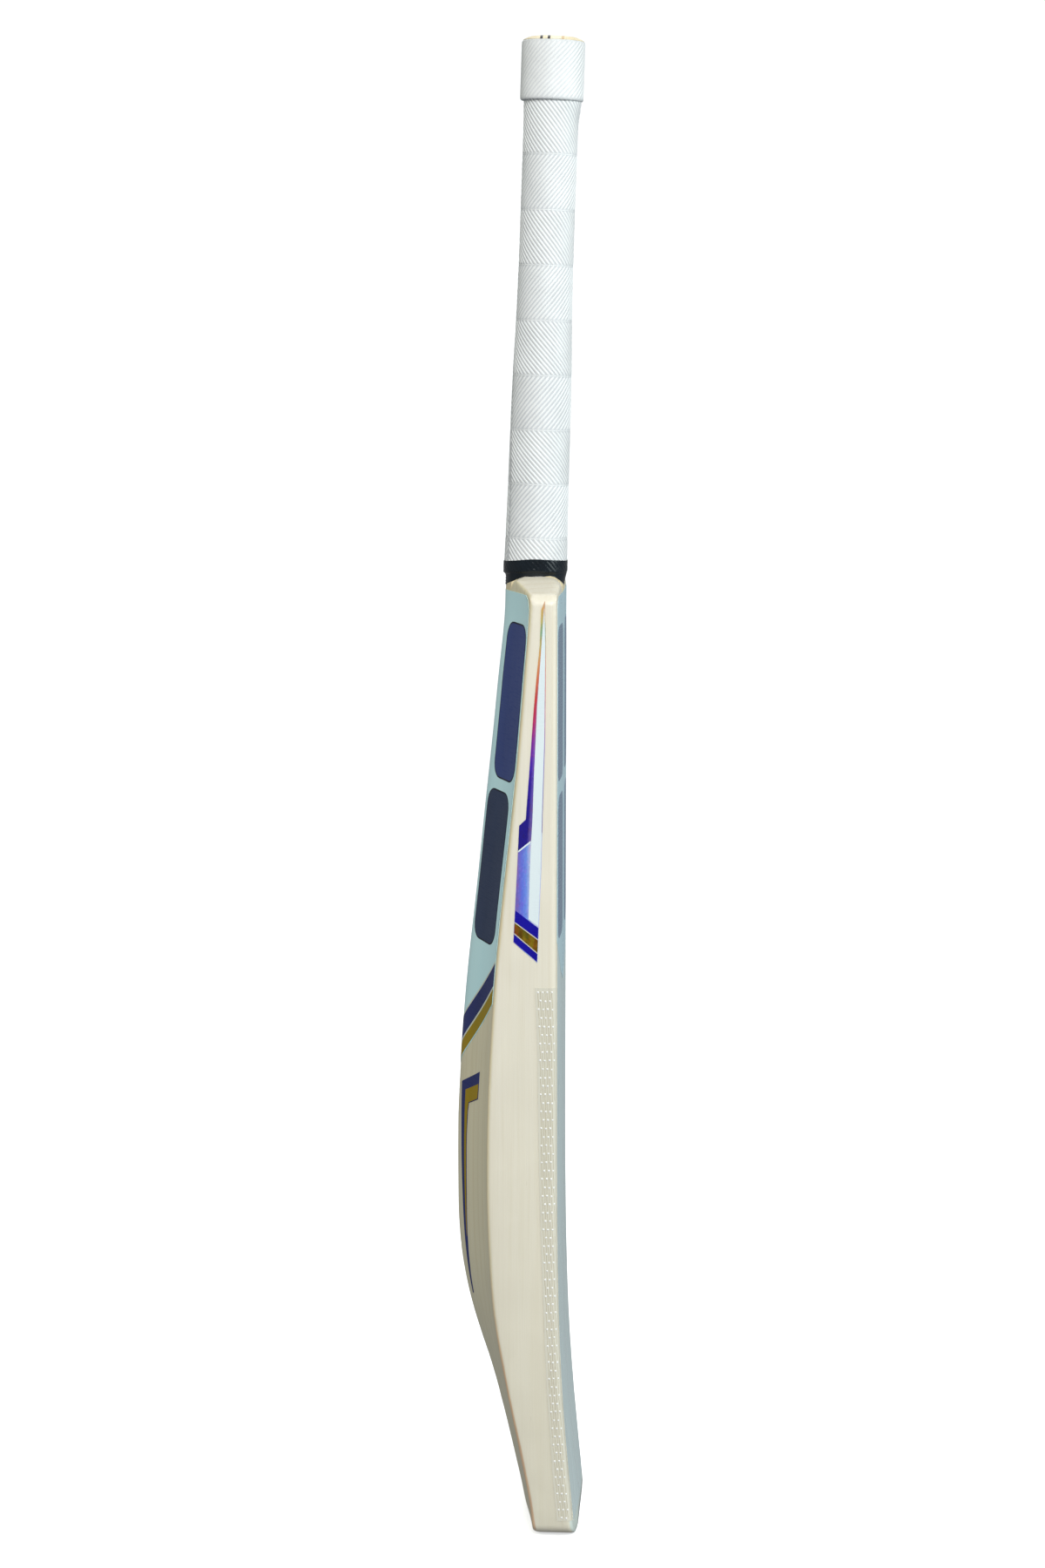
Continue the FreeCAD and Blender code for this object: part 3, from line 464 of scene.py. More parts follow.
M = {
    "willow": make_willow(),
    "sheet": make_sheet(),
    # the back teal is set near white, paler than the print, to stand in for the bright surroundings the gloss
    # reflects: partly painted reflection
    "teal": make_vinyl("back_vinyl_teal", (203, 249, 255), (210, 251, 255), rough=0.30, spec=0.45, coat=0.2),
    "facev": make_vinyl("face_vinyl_pale", (180, 214, 226), (190, 220, 230), rough=0.28, spec=0.4),
    "navy": make_vinyl("navy_print", (50, 68, 126), (58, 76, 136), rough=0.34, dark=(30, 38, 80), spec=0.06),
    # a darker copy of the navy print for the lower bars: painted shade, the lower back lying in deeper shade
    "navy_shaded": make_vinyl("navy_print_painted_shade", (42, 56, 84), (50, 64, 94), rough=0.34, dark=(26, 36, 60), spec=0.06),
    "navy_band": make_vinyl("navy_band_print", (26, 38, 96), (34, 46, 112), rough=0.34, dark=(20, 26, 56), spec=0.08),
    # a thin dark line along the back sticker's border with the wood: painted shadow of the sticker's edge
    "sticker_shadow_line": make_vinyl("sticker_edge_painted_shadow", (92, 110, 108), (104, 122, 118), rough=0.36, dark=(70, 84, 82), spec=0.1),
    "ink": make_vinyl("ink_line", (22, 26, 40), (30, 34, 50), rough=0.34, dark=(10, 12, 20), spec=0.06),
    "gold": make_vinyl("gold_print", (152, 130, 14), (166, 138, 18), rough=0.34, dark=(112, 100, 14), spec=0.05, var=0.2),
    "white": make_vinyl("white_print", (214, 228, 232), (222, 234, 237), rough=0.26, dark=(206, 214, 222)),
    "paleline": make_vinyl("pale_line", (206, 214, 196), (216, 222, 206), rough=0.30),
    "steel": make_vinyl("steel_print", (108, 132, 158), (116, 140, 164), rough=0.26, spec=0.2),
    "blue": make_vinyl("blue_print", (18, 8, 132), (26, 20, 158), rough=0.26, dark=(12, 4, 80), spec=0.16),
    "foil": make_foil(),
    "gold_foil": make_gold_foil(),
    "edge_line": make_vinyl("edge_pale_line", (188, 184, 168), (200, 195, 180), rough=0.34, spec=0.15),
    "fibre": make_fibre_tape(),
    "rubber": make_rubber(),
    "tape": make_black_tape(),
    "toe": make_toe(),
    "cane": make_cane("cane", (236, 222, 184)),
    "cane2": make_cane("cane_inner", (216, 190, 138)),
    "cane_end": make_cane_end(),
    "black_strip": make_strip("black_strip", (24, 24, 26), (38, 38, 40), (70, 68, 66)),
    "cork_strip": make_strip("cork_strip", (142, 96, 56), (168, 118, 74), (84, 52, 28)),
    "twine": make_twine(),
    "dots": make_vinyl("tape_dots", (238, 240, 238), (246, 247, 245), rough=0.34, coat=0.2, dark=(206, 208, 206)),
    "thread": make_strip("tape_thread", (186, 178, 152), (200, 193, 168), (166, 156, 128)),
}


def paint(node, m):
    o = nodes[node]
    if not o.material_slots:
        o.data.materials.append(m)
    for s in o.material_slots:
        s.material = m


for n in nodes:
    if n.startswith("cane_mid") or n.startswith("cane_centre"):
        paint(n, M["cane2"])
    elif n.startswith("cane"):
        paint(n, M["cane"])
paint("blade", M["willow"])
paint("toe_guard", M["toe"])
paint("spring_back", M["black_strip"])
paint("spring_front", M["cork_strip"])
paint("spring_centre", M["black_strip"])
paint("twine_binding", M["twine"])
paint("back_sticker", M["teal"])
paint("face_sticker", M["facev"])
paint("face_sheet", M["sheet"])
paint("edge_flash_left", M["foil"])
paint("edge_flash_right", M["foil"])
paint("edge_tape_left", M["fibre"])
paint("edge_tape_right", M["fibre"])
paint("back_flash_left", M["navy_band"])
paint("back_flash_right", M["navy_band"])


# ------------------------------------------------------------------ mesh helpers
def make_object(name, verts, faces, mat, smooth=True, rise=None, stands_for=()):
    me = bpy.data.meshes.new(name)
    me.from_pydata([(v[0] * MM, v[1] * MM, v[2] * MM) for v in verts], [], faces)
    me.materials.append(mat)
    if rise is not None:
        a = me.attributes.new("rise", "FLOAT", "POINT")
        a.data.foreach_set("value", rise)
    me.validate()
    o = bpy.data.objects.new(name, me)
    bpy.context.scene.collection.objects.link(o)
    bm = bmesh.new()
    bm.from_mesh(me)
    bmesh.ops.recalc_face_normals(bm, faces=bm.faces)
    bm.to_mesh(me)
    bm.free()
    if smooth:
        me.polygons.foreach_set("use_smooth", [True] * len(me.polygons))
        me.set_sharp_from_angle(angle=math.radians(52))
    me.update()
    if stands_for:
        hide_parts(*stands_for)
    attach(o, "root")
    return o


def interp(table, v, k):
    if v <= table[0][0]:
        return table[0][k]
    for a, b in zip(table, table[1:]):
        if v <= b[0]:
            t = (v - a[0]) / (b[0] - a[0])
            return a[k] + t * (b[k] - a[k])
    return table[-1][k]


CORE = [(-8, 15.95, 15.1), (14, 15.75, 14.9), (38, 15.35, 14.5), (64, 15.1, 14.2), (90, 14.95, 13.95),
        (114, 14.6, 13.75), (136, 14, 13.55), (160, 13.55, 13.4), (186, 13.32, 13.31), (240, 13.31, 13.3),
        (304, 13.31, 13.3)]


def bulge(zl, th):
    """The sleeve swells under the collar, most on the face side."""
    if zl < 235 or zl > 268:
        return 0.0
    t = math.exp(-((266.0 - zl) / 9.5) ** 2)
    return t * (0.25 + 1.25 * max(0.0, -math.cos(th - 0.06)) ** 2)


def on_handle(zl, th, off):
    """Point on the handle: height along the handle, angle from the back towards the left side, and how far out
    of the wood; with its outward normal."""
    if 1.0 < off < 2.2:
        off += bulge(zl, th)
    hd, hw = interp(CORE, zl, 1) + off, interp(CORE, zl, 2) + off
    xl, yl = -hw * math.sin(th), hd * math.cos(th)
    nx, ny = -math.sin(th) / hw, math.cos(th) / hd
    ln = math.hypot(nx, ny)
    nx, ny = nx / ln, ny / ln
    p = Vector((xl, -8.66 + yl * CT - zl * ST, 555 + yl * ST + zl * CT))
    n = Vector((nx, ny * CT, ny * ST))
    return p, n


def tube(profile, n_around, verts, faces, rise, rise_of=None, wobble=None):
    """Closed ring of a (height, offset) profile round the handle. The profile is a closed loop."""
    start = len(verts)
    k = len(profile)
    for i in range(n_around):
        th = 2 * math.pi * i / n_around
        for j, (zl, off) in enumerate(profile):
            o2 = off + (wobble(zl, th, off) if wobble else 0.0)
            p, _ = on_handle(zl, th, o2)
            verts.append(p)
            rise.append(rise_of(zl, off) if rise_of else 1.0)
    for i in range(n_around):
        i2 = (i + 1) % n_around
        for j in range(k):
            j2 = (j + 1) % k
            faces.append((start + i * k + j, start + i2 * k + j, start + i2 * k + j2, start + i * k + j2))


def rib(path, off0, width, height, verts, faces, rise, taper=1.2):
    """A raised rounded bar along a path of (zl, theta) on the handle, its feet buried in the sleeve."""
    if len(path) < 3:
        return
    pts, nrm = [], []
    for zl, th in path:
        p, n = on_handle(zl, th, off0)
        pts.append(p)
        nrm.append(n)
    length = [0.0]
    for a, b in zip(pts, pts[1:]):
        length.append(length[-1] + (b - a).length)
    total = length[-1]
    if total < 0.8:
        return
    prof = [(-1.0, -0.12), (-0.86, 0.42), (-0.55, 0.86), (0.0, 1.0), (0.55, 0.86), (0.86, 0.42), (1.0, -0.12)]
    start = len(verts)
    m = len(prof)
    for i, (p, n) in enumerate(zip(pts, nrm)):
        a, b = pts[max(0, i - 1)], pts[min(len(pts) - 1, i + 1)]
        t = (b - a).normalized()
        side = n.cross(t).normalized()
        e = min(length[i], total - length[i])
        s = min(1.0, 0.30 + 0.70 * math.sqrt(max(0.0, min(1.0, e / taper))))
        for u, h in prof:
            hh = h * height * s if h > 0 else h
            verts.append(p + side * (u * width * 0.5 * min(1.0, 0.55 + 0.45 * s)) + n * hh)
            rise.append(max(0.0, h) * s)
    for i in range(len(pts) - 1):
        for j in range(m - 1):
            a = start + i * m + j
            faces.append((a, a + m, a + m + 1, a + 1))
        a = start + i * m
        faces.append((a, a + m - 1, a + m + m - 1, a + m))
    faces.append(tuple(start + j for j in range(m)))
    e = start + (len(pts) - 1) * m
    faces.append(tuple(e + j for j in reversed(range(m))))


# ------------------------------------------------------------------ grip
PITCH = 2 * math.pi / 38
SLOPE = 1.0 / (15.9 * 1.15)           # turn per mm of height
EDGES = [559.7, 577.0, 607.4, 637.9, 668.3, 698.8, 729.3, 759.7, 790.2, 820.6]
# +1 leans to the face going up, -1 to the back, as seen on the left side; from the lowest band up
DIRS = [-1, 1, -1, 1, -1, 1, -1, 1, -1]


def seam(z):
    """Angle of the grip's joining line, which turns towards the left side low down."""
    if z > 720:
        return math.radians(4)
    t = (720 - z) / 154.0
    return math.radians(4 + 25 * t * t * (3 - 2 * min(1, t)) if t < 1 else 29)


verts, faces, rise = [], [], []
LOW = 1.83                              # sleeve between the ribs, off the wood
prof = [(4.4, 0.80), (4.4, LOW - 0.25), (4.8, LOW)]
prof += [(z, LOW) for z in range(8, 296, 4)]
prof += [(296.2, LOW), (296.9, LOW - 0.3), (296.9, 0.80)]
prof += [(z, 0.80) for z in range(290, 6, -8)]
tube(prof, 120, verts, faces, rise, rise_of=lambda z, o: 0.0)

phase = 0.0
for k, d in enumerate(DIRS):
    z0, z1 = EDGES[k], EDGES[k + 1]
    gap0 = 0.0 if k == 0 else 0.12
    gap1 = 0.12
    for half in (0, 1):
        for i in range(-16, 36):
            path = []
            steps = max(8, int((z1 - z0) / 1.3))
            for s in range(steps + 1):
                z = z0 + gap0 + (z1 - z0 - gap0 - gap1) * s / steps
                rel = (i + phase) * PITCH + d * (z - z0) * SLOPE
                if 0.0 < rel < math.pi:
                    th = seam(z) + rel if half == 0 else seam(z) - rel
                    path.append((z - 555.0, th))
                elif path:
                    break
            rib(path, LOW, 1.42, 0.27, verts, faces, rise, taper=0.35)
    phase = (phase + d * (z1 - z0) * SLOPE / PITCH) % 1.0

# thin raised rings between the bands
for z in EDGES[1:]:
    zl = z - 555.0
    ring = [(zl - 0.24, LOW - 0.1), (zl - 0.18, LOW + 0.05), (zl - 0.08, LOW + 0.10), (zl + 0.08, LOW + 0.10),
            (zl + 0.18, LOW + 0.05), (zl + 0.24, LOW - 0.1)]
    tube(ring, 120, verts, faces, rise, rise_of=lambda z, o: 0.9 if o > LOW else 0.3)
grip = make_object("grip_ribbed", verts, faces, M["rubber"], rise=rise, stands_for=["grip_sleeve"])

# collar: a second, looser sleeve rolled over the top of the grip
verts, faces, rise = [], [], []
R0 = 13.31


def col_off(r):
    return r - R0


CB = 17.55
prof = [(266.0, col_off(15.70)), (265.1, col_off(15.85)), (264.7, col_off(16.2)), (264.6, col_off(16.7)),
        (264.75, col_off(17.15)), (265.2, col_off(17.42)), (266.0, col_off(CB)), (269.0, col_off(CB))]
prof += [(269.0 + 2.0 * i, col_off(CB)) for i in range(1, 13)]
prof += [(295.4, col_off(CB)), (296.3, col_off(17.46)), (296.85, col_off(17.15)), (297.1, col_off(16.7)),
         (297.1, col_off(16.2)), (296.9, col_off(15.78)), (295.5, col_off(15.70))]
prof += [(z, col_off(15.70)) for z in (290, 284, 278, 272)]
# the curled lower lip gets a lower rise, so a darker groove tone: painted shade under the lip
tube(prof, 128, verts, faces, rise, rise_of=lambda z, o: 0.25 if z < 265.0 else 0.35)
NC = 38
for i in range(NC):
    path = []
    for s in range(22):
        zl = 265.45 + (296.45 - 265.45) * s / 21.0
        path.append((zl, 2 * math.pi * i / NC + (zl - 265.45) * SLOPE * 1.02))
    rib(path, col_off(CB) - 0.02, 1.55, 0.20, verts, faces, rise, taper=0.9)
collar = make_object("grip_collar_rolled", verts, faces, M["rubber"], rise=rise,
                     stands_for=["grip_collar"])

# cane ring that rounds the handle's end off to the collar
verts, faces, rise = [], [], []
prof = [(299.15, col_off(13.2)), (298.75, col_off(14.4)), (298.25, col_off(15.5)), (297.75, col_off(16.4)),
        (297.42, col_off(16.9)), (297.2, col_off(17.05)), (296.95, col_off(16.9)), (296.85, col_off(16.2)),
        (296.8, col_off(13.2))]
tube(prof, 96, verts, faces, rise)
make_object("handle_end_ring", verts, faces, M["cane_end"])


# ------------------------------------------------------------------ tape round the grip's lower end
ZF = [(9, 556.4), (17, 555.6), (24, 554.1), (32, 552.2), (40, 550.5)]
ZS = [(-12, 538), (-4.5, 546.2), (-1.5, 550.4), (0.8, 553.2), (3.4, 555.2), (6.6, 556.2), (12.5, 556.5), (19, 556.1),
      (23, 554.8), (27, 553), (31.5, 550.9), (40, 547), (60, 538)]


def cap_top(x, y):
    """Height of the shoulder's top surface."""
    ax = abs(x)
    zf = interp(ZF, max(9, ax), 1)
    return min(zf, interp(ZS, y - SHIFT, 1))


verts, faces, rise = [], [], []
NA = 180
rows = []


def tape_drop(th):
    """The tape isn't wound square: its edges sit lower at the back and, a little, at the front."""
    c = math.cos(th)
    return -0.5 - 2.6 * max(0.0, c) ** 1.4 - 0.9 * max(0.0, -c) ** 1.4


def tape_out(zl, th):
    """Outer surface of the tape, with the ribs showing through on the grip and rings of creases on the step."""
    step = 2.0 + 0.75 * (tape_drop(th) + 0.5)
    if zl >= step + 2.2:
        off = 2.36
    elif zl <= step:
        off = 0.90
    else:
        t = (zl - step) / 2.2
        off = 0.90 + 1.46 * t * t * (3 - 2 * t)
    n = math.sin(38 * (th - seam(zl + 555)) - 38 * (zl - 2) * SLOPE * -1.0 * (1 if math.sin(th - seam(zl + 555)) > 0 else -1))
    up = max(0.0, min(1.0, (zl - 2.6) / 1.5)) * max(0.0, min(1.0, (11.4 + tape_drop(th) - zl) / 0.8))
    off += 0.13 * n * up * (0.75 + 0.25 * math.sin(3 * th + zl))
    dn = max(0.0, min(1.0, (3.2 - zl) / 1.0))
    off += dn * 0.10 * math.sin(zl * 3.7 + 0.9 * math.sin(2 * th + 0.6) + 0.5 * math.sin(5 * th))
    # overlap of the tape's end, a slanted step round the back
    e = (th / (2 * math.pi) + zl * 0.02) % 1.0
    off += 0.05 if e < 0.5 else 0.0
    return off


NR = 34
for i in range(NA):
    th = 2 * math.pi * i / NA
    lo = 2.0
    for _ in range(30):
        p, _n = on_handle(lo, th, 0.95)
        gap = p.z - (cap_top(p.x, p.y) - 0.25)
        lo -= gap
        if abs(gap) < 0.01:
            break
    lo = max(-14.0, lo)
    col = []
    hi = 11.2 + tape_drop(th) + 0.10 * math.sin(3 * th + 1.0)
    for j in range(NR):
        t = j / (NR - 1.0)
        zl = lo + (hi - lo) * t
        p, _n = on_handle(zl, th, tape_out(zl, th))
        col.append(len(verts))
        verts.append(p)
    for j in (NR - 1, NR // 2, 0):
        t = j / (NR - 1.0)
        zl = lo + (hi - lo) * t
        inner = 2.27 if zl > 3.0 else 0.74
        p, _n = on_handle(zl + (0.02 if j == 0 else 0.0), th, inner)
        col.append(len(verts))
        verts.append(p)
    rows.append(col)
for i in range(NA):
    a, b = rows[i], rows[(i + 1) % NA]
    m = len(a)
    for j in range(m):
        j2 = (j + 1) % m
        faces.append((a[j], b[j], b[j2], a[j2]))
tape = make_object("tape_wrap", verts, faces, M["tape"], stands_for=["grip_tape"])


# ------------------------------------------------------------------ blade with its shoulder worked smooth
def worked_blade():
    """The blade's own surface, with the shoulder's hips and corners sanded round."""
    me = nodes["blade"].data.copy()
    me.name = "blade_body"
    bm = bmesh.new()
    bm.from_mesh(me)
    bmesh.ops.remove_doubles(bm, verts=bm.verts, dist=2e-6)
    zcut = 0.5335

    def cut(co, no, everything=False):
        fs = [f for f in bm.faces if everything or f.calc_center_median().z > zcut]
        es = {e for f in fs for e in f.edges}
        vs = {v for f in fs for v in f.verts}
        bmesh.ops.bisect_plane(bm, geom=list(vs) + list(es) + fs, dist=1e-7, plane_co=co, plane_no=no)

    cut((0, 0, zcut), (0, 0, 1), True)
    for i in range(19):
        cut((0, 0, zcut + 0.0012 * (i + 1)), (0, 0, 1))
    for i in range(73):
        cut((-0.054 + 0.0015 * i, 0, 0), (1, 0, 0))
    for i in range(26):
        cut((0, -0.0248 + 0.0014 * i, 0), (0, 1, 0))
    bmesh.ops.remove_doubles(bm, verts=[v for v in bm.verts if v.co.z > zcut + 0.0001], dist=0.00012)
    sel, hold = [], {}
    for v in bm.verts:
        x, y, z = v.co / MM
        if z < 535.0:
            continue
        hx, hy = x / 16.6, (y + 8.66) / 17.6
        if math.hypot(hx, hy) < 1.0:
            continue
        if z > cap_top(x, y) - 3.4 or (abs(x) > 44 and z > 538.0 and -6.0 < y - SHIFT < 15.0):
            sel.append(v)
    for _ in range(12):
        bmesh.ops.smooth_vert(bm, verts=sel, factor=0.5, use_axis_x=True, use_axis_y=True, use_axis_z=True)
    bm.to_mesh(me)
    bm.free()
    me.materials.clear()
    me.materials.append(M["willow"])
    me.polygons.foreach_set("use_smooth", [True] * len(me.polygons))
    me.set_sharp_from_angle(angle=math.radians(38))
    me.update()
    o = bpy.data.objects.new("blade_body", me)
    bpy.context.scene.collection.objects.link(o)
    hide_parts("blade")
    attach(o, "root")
    print("blade faces", len(me.polygons))
    return o


worked_blade()


# ------------------------------------------------------------------ printed film on the blade
def tree_of(*names):
    vs, fs = [], []
    for n in names:
        me = nodes[n].data
        s = len(vs)
        vs += [v.co.copy() for v in me.vertices]
        fs += [tuple(s + i for i in p.vertices) for p in me.polygons]
    return BVHTree.FromPolygons(vs, fs)


TREES = {}


def cast(key, names, origin, direction):
    if key not in TREES:
        TREES[key] = tree_of(*names)
    hit = TREES[key].ray_cast(Vector(origin) * MM, Vector(direction))
    return hit[0], hit[1]


def flat_grid(points, du, dv):
    """The polygon as a mesh in its own plane, cut by a grid so that it can follow a curved surface."""
    bm = bmesh.new()
    vs = [bm.verts.new((u, v, 0)) for u, v in points]
    bm.faces.new(vs)
    us, ws = [p[0] for p in points], [p[1] for p in points]
    for axis, lo, hi, step in ((0, min(us), max(us), du), (1, min(ws), max(ws), dv)):
        n = int(math.floor((hi - lo) / step))
        for i in range(1, n + 1):
            c = lo + i * (hi - lo) / (n + 1.0)
            co = (c, 0, 0) if axis == 0 else (0, c, 0)
            no = (1, 0, 0) if axis == 0 else (0, 1, 0)
            bmesh.ops.bisect_plane(bm, geom=bm.verts[:] + bm.edges[:] + bm.faces[:], dist=1e-5, plane_co=co,
                                   plane_no=no)
    bmesh.ops.remove_doubles(bm, verts=bm.verts, dist=1e-4)
    bm.verts.index_update()
    uv = [(v.co.x, v.co.y) for v in bm.verts]
    fs = [tuple(v.index for v in f.verts) for f in bm.faces]
    edges = [tuple(v.index for v in e.verts) for e in bm.edges if len(e.link_faces) == 1]
    bm.free()
    return uv, fs, edges


def film(name, polys, surface, names, mat, lift=0.05, thick=0.05, du=1.6, dv=6.0):
    """Thin closed film pieces that lie on a CAD surface. surface is back, face, left or right; a polygon is in
    (x, z) on the back and face, in (y, z) on the edges, in mm."""
    verts, faces = [], []
    sign = {"back": (0, 1, 0), "face": (0, -1, 0), "left": (-1, 0, 0), "right": (1, 0, 0)}[surface]
    out = Vector(sign)
    for poly in polys:
        uv, fs, edges = flat_grid(poly, du, dv)
        top, ok = [], True
        for u, v in uv:
            if surface in ("back", "face"):
                org = Vector((u, 0, v)) + out * 120
            else:
                org = Vector((0, u, v)) + out * 120
            p, n = cast(surface + names[0], names, org, -out)
            if p is None:
                ok = False
                break
            if n.dot(out) < 0:
                n = -n
            n = (n + out * 0.5).normalized()
            top.append((p / MM, n))
        if not ok:
            print("film misses the surface:", name, (u, v))
            continue
        s = len(verts)
        k = len(top)
        verts += [p + n * (lift + thick) for p, n in top]
        verts += [p + n * lift * 0.2 for p, n in top]
        faces += [tuple(s + i for i in f) for f in fs]
        faces += [tuple(s + k + i for i in reversed(f)) for f in fs]
        faces += [(s + a, s + b, s + k + b, s + k + a) for a, b in edges]
    return make_object(name, verts, faces, mat)


def mirrored(poly):
    return [(-u, v) for u, v in reversed(poly)]


def rbar(x0, x1, z0, z1, r, n=6):
    pts = []
    for cx, cz, a0 in ((x1 - r, z1 - r, 0), (x0 + r, z1 - r, 90), (x0 + r, z0 + r, 180), (x1 - r, z0 + r, 270)):
        for i in range(n + 1):
            a = math.radians(a0 + 90.0 * i / n)
            pts.append((cx + r * math.cos(a), cz + r * math.sin(a)))
    return pts


BS = ["back_sticker"]


def chevron(e0, s0, e1, s1, x1=50.2, x0=0.25):
    """One half of a band across the spine: edge and spine heights of its top, then of its bottom."""
    return [(x0, s1), (x1, e1), (x1, e0), (x0, s0)]


bands = {
    "back_band_navy": ([(340.0, 295.6, 326.9, 281.8)], M["navy_band"]),
    "back_band_gold": ([(325.2, 280.2, 316.4, 271.2)], M["gold"]),
    "back_band_lines": ([(341.4, 297.0, 340.0, 295.6), (326.9, 281.8, 325.2, 280.2)], M["paleline"]),
}
for name, (rows_, m) in bands.items():
    polys = []
    for e0, s0, e1, s1 in rows_:
        q = chevron(e0, s0, e1, s1)
        polys += [q, mirrored(q)]
    film(name, polys, "back", BS, m, du=1.6, dv=5.0)

# painted shadow: a thin dark line along the back sticker's side edge and round its top corner
rim = [(50.05, 318.0), (50.35, 317.8), (50.35, 540.0), (47.5, 545.2), (43.2, 547.3), (43.2, 546.95), (47.25, 544.9), (50.05, 539.8)]
film("back_sticker_edge_shadow", [rim, mirrored(rim)], "back", BS, M["sticker_shadow_line"], lift=0.03, thick=0.03)
bars_up = rbar(13.4, 48.4, 442.5, 530.0, 9.0)
bars_dn = rbar(8.6, 43.4, 348.4, 434.2, 9.0)
line_up = rbar(12.5, 49.3, 441.6, 530.9, 9.9)
line_dn = rbar(7.7, 44.3, 347.5, 435.1, 9.9)
film("back_bars_outline", [line_up, mirrored(line_up), line_dn, mirrored(line_dn)], "back", BS, M["ink"],
     lift=0.03, thick=0.03)
film("back_bars_upper", [bars_up, mirrored(bars_up)], "back", BS, M["navy"], lift=0.07, thick=0.05)
# the lower bars use the darker navy copy: painted shade
film("back_bars_lower", [bars_dn, mirrored(bars_dn)], "back", BS, M["navy_shaded"], lift=0.07, thick=0.05)

# back flashes: gold over the navy film
gold_arm = [(15.0, 257.6), (33.9, 265.8), (33.3, 257.0), (20.2, 251.3), (18.8, 246.0), (18.1, 232.0), (17.9, 196.0),
            (16.6, 170.0), (16.2, 170.0), (15.9, 196.0), (15.5, 214.0), (15.2, 232.0), (14.9, 248.0)]
gap_line = [(14.6, 257.4), (34.0, 265.9), (34.0, 266.9), (14.0, 258.2), (14.1, 240.0), (15.0, 205.0), (15.6, 180.0),
            (16.1, 180.0), (15.5, 205.0), (14.7, 240.0)]
BL = ["back_flash_left"]
BR = ["back_flash_right"]
film("back_flash_gold_right", [gold_arm], "back", BR, M["gold"], lift=0.04, thick=0.05, du=1.4)
film("back_flash_gold_left", [mirrored(gold_arm)], "back", BL, M["gold"], lift=0.04, thick=0.05, du=1.4)

# face: pointed sticker with plain bars
FS = ["face_sticker"]
fb = [rbar(9.0, 46.8, 442.5, 530.0, 9.0), rbar(9.0, 44.0, 352.0, 434.0, 9.0)]
film("face_bars", fb + [mirrored(p) for p in fb], "face", FS, M["steel"], lift=0.05, thick=0.05, du=3.0)


# edges: white strip, bands and lines over the foil
def sh(poly):
    return [(y + SHIFT, z) for y, z in poly]


FACE_SIDE = [(341.2, 10.6), (364, 9.7), (394, 8.5), (430, 7.6), (470, 6.4), (520, 6.0), (545.5, 6.6)]
BACK_SIDE = [(353, 24.2), (393.5, 22.1), (419.4, 20.9)]


def fy(z, inset=0.35):
    return interp(FACE_SIDE, z, 1) + inset


def by(z, inset=0.2):
    return interp(BACK_SIDE, z, 1) - inset


# the white strip, from a point near the top down to the slanting bands
strip = [(fy(z), z) for z in (541.0, 520.0, 494.0, 470.0, 450.0, 430.0, 412.0, 394.0, 378.0, 362.3)][::-1]
strip = [(fy(541.0) + 0.2, 541.0), (9.3, 509.0), (10.9, 487.0), (11.7, 467.6), (12.6, 447.5), (13.4, 423.4), (14.2, 410.0),
         (14.9, 393.7), (15.6, 366.4)] + strip
diag = [(14.5, 409.8), (by(404.6), 404.2), (by(405.6), 405.3), (14.4, 411.0)]


def slant(r0, r1, l0, l1, inset=0.2):
    """A band across the flash: heights at the face side, then at the back side."""
    return [(fy(r0, inset), r0), (by(l0, inset), l0), (by(l1, inset), l1), (fy(r1, inset), r1)]


low_b = slant(341.8, 346.4, 353.4, 357.6)
low_w1 = slant(346.4, 347.1, 357.6, 358.3)
low_g = slant(347.1, 354.2, 358.3, 364.0)
low_w2 = slant(354.2, 354.9, 364.0, 364.7)
top_b = slant(354.9, 361.3, 364.7, 371.2)
for side in ("left", "right"):
    nd = ["edge_flash_" + side]
    film("edge_white_" + side, [sh(strip), sh(diag)], side, nd, M["white"], lift=0.03, thick=0.04, du=3, dv=8)
    film("edge_pale_lines_" + side, [sh(low_w1), sh(low_w2)], side, nd, M["edge_line"], lift=0.05, thick=0.04,
         du=5, dv=8)
    film("edge_gold_" + side, [sh(low_g)], side, nd, M["gold_foil"], lift=0.04, thick=0.04, du=5, dv=8)
    film("edge_blue_" + side, [sh(low_b), sh(top_b)], side, nd, M["blue"], lift=0.04, thick=0.04, du=5, dv=8)


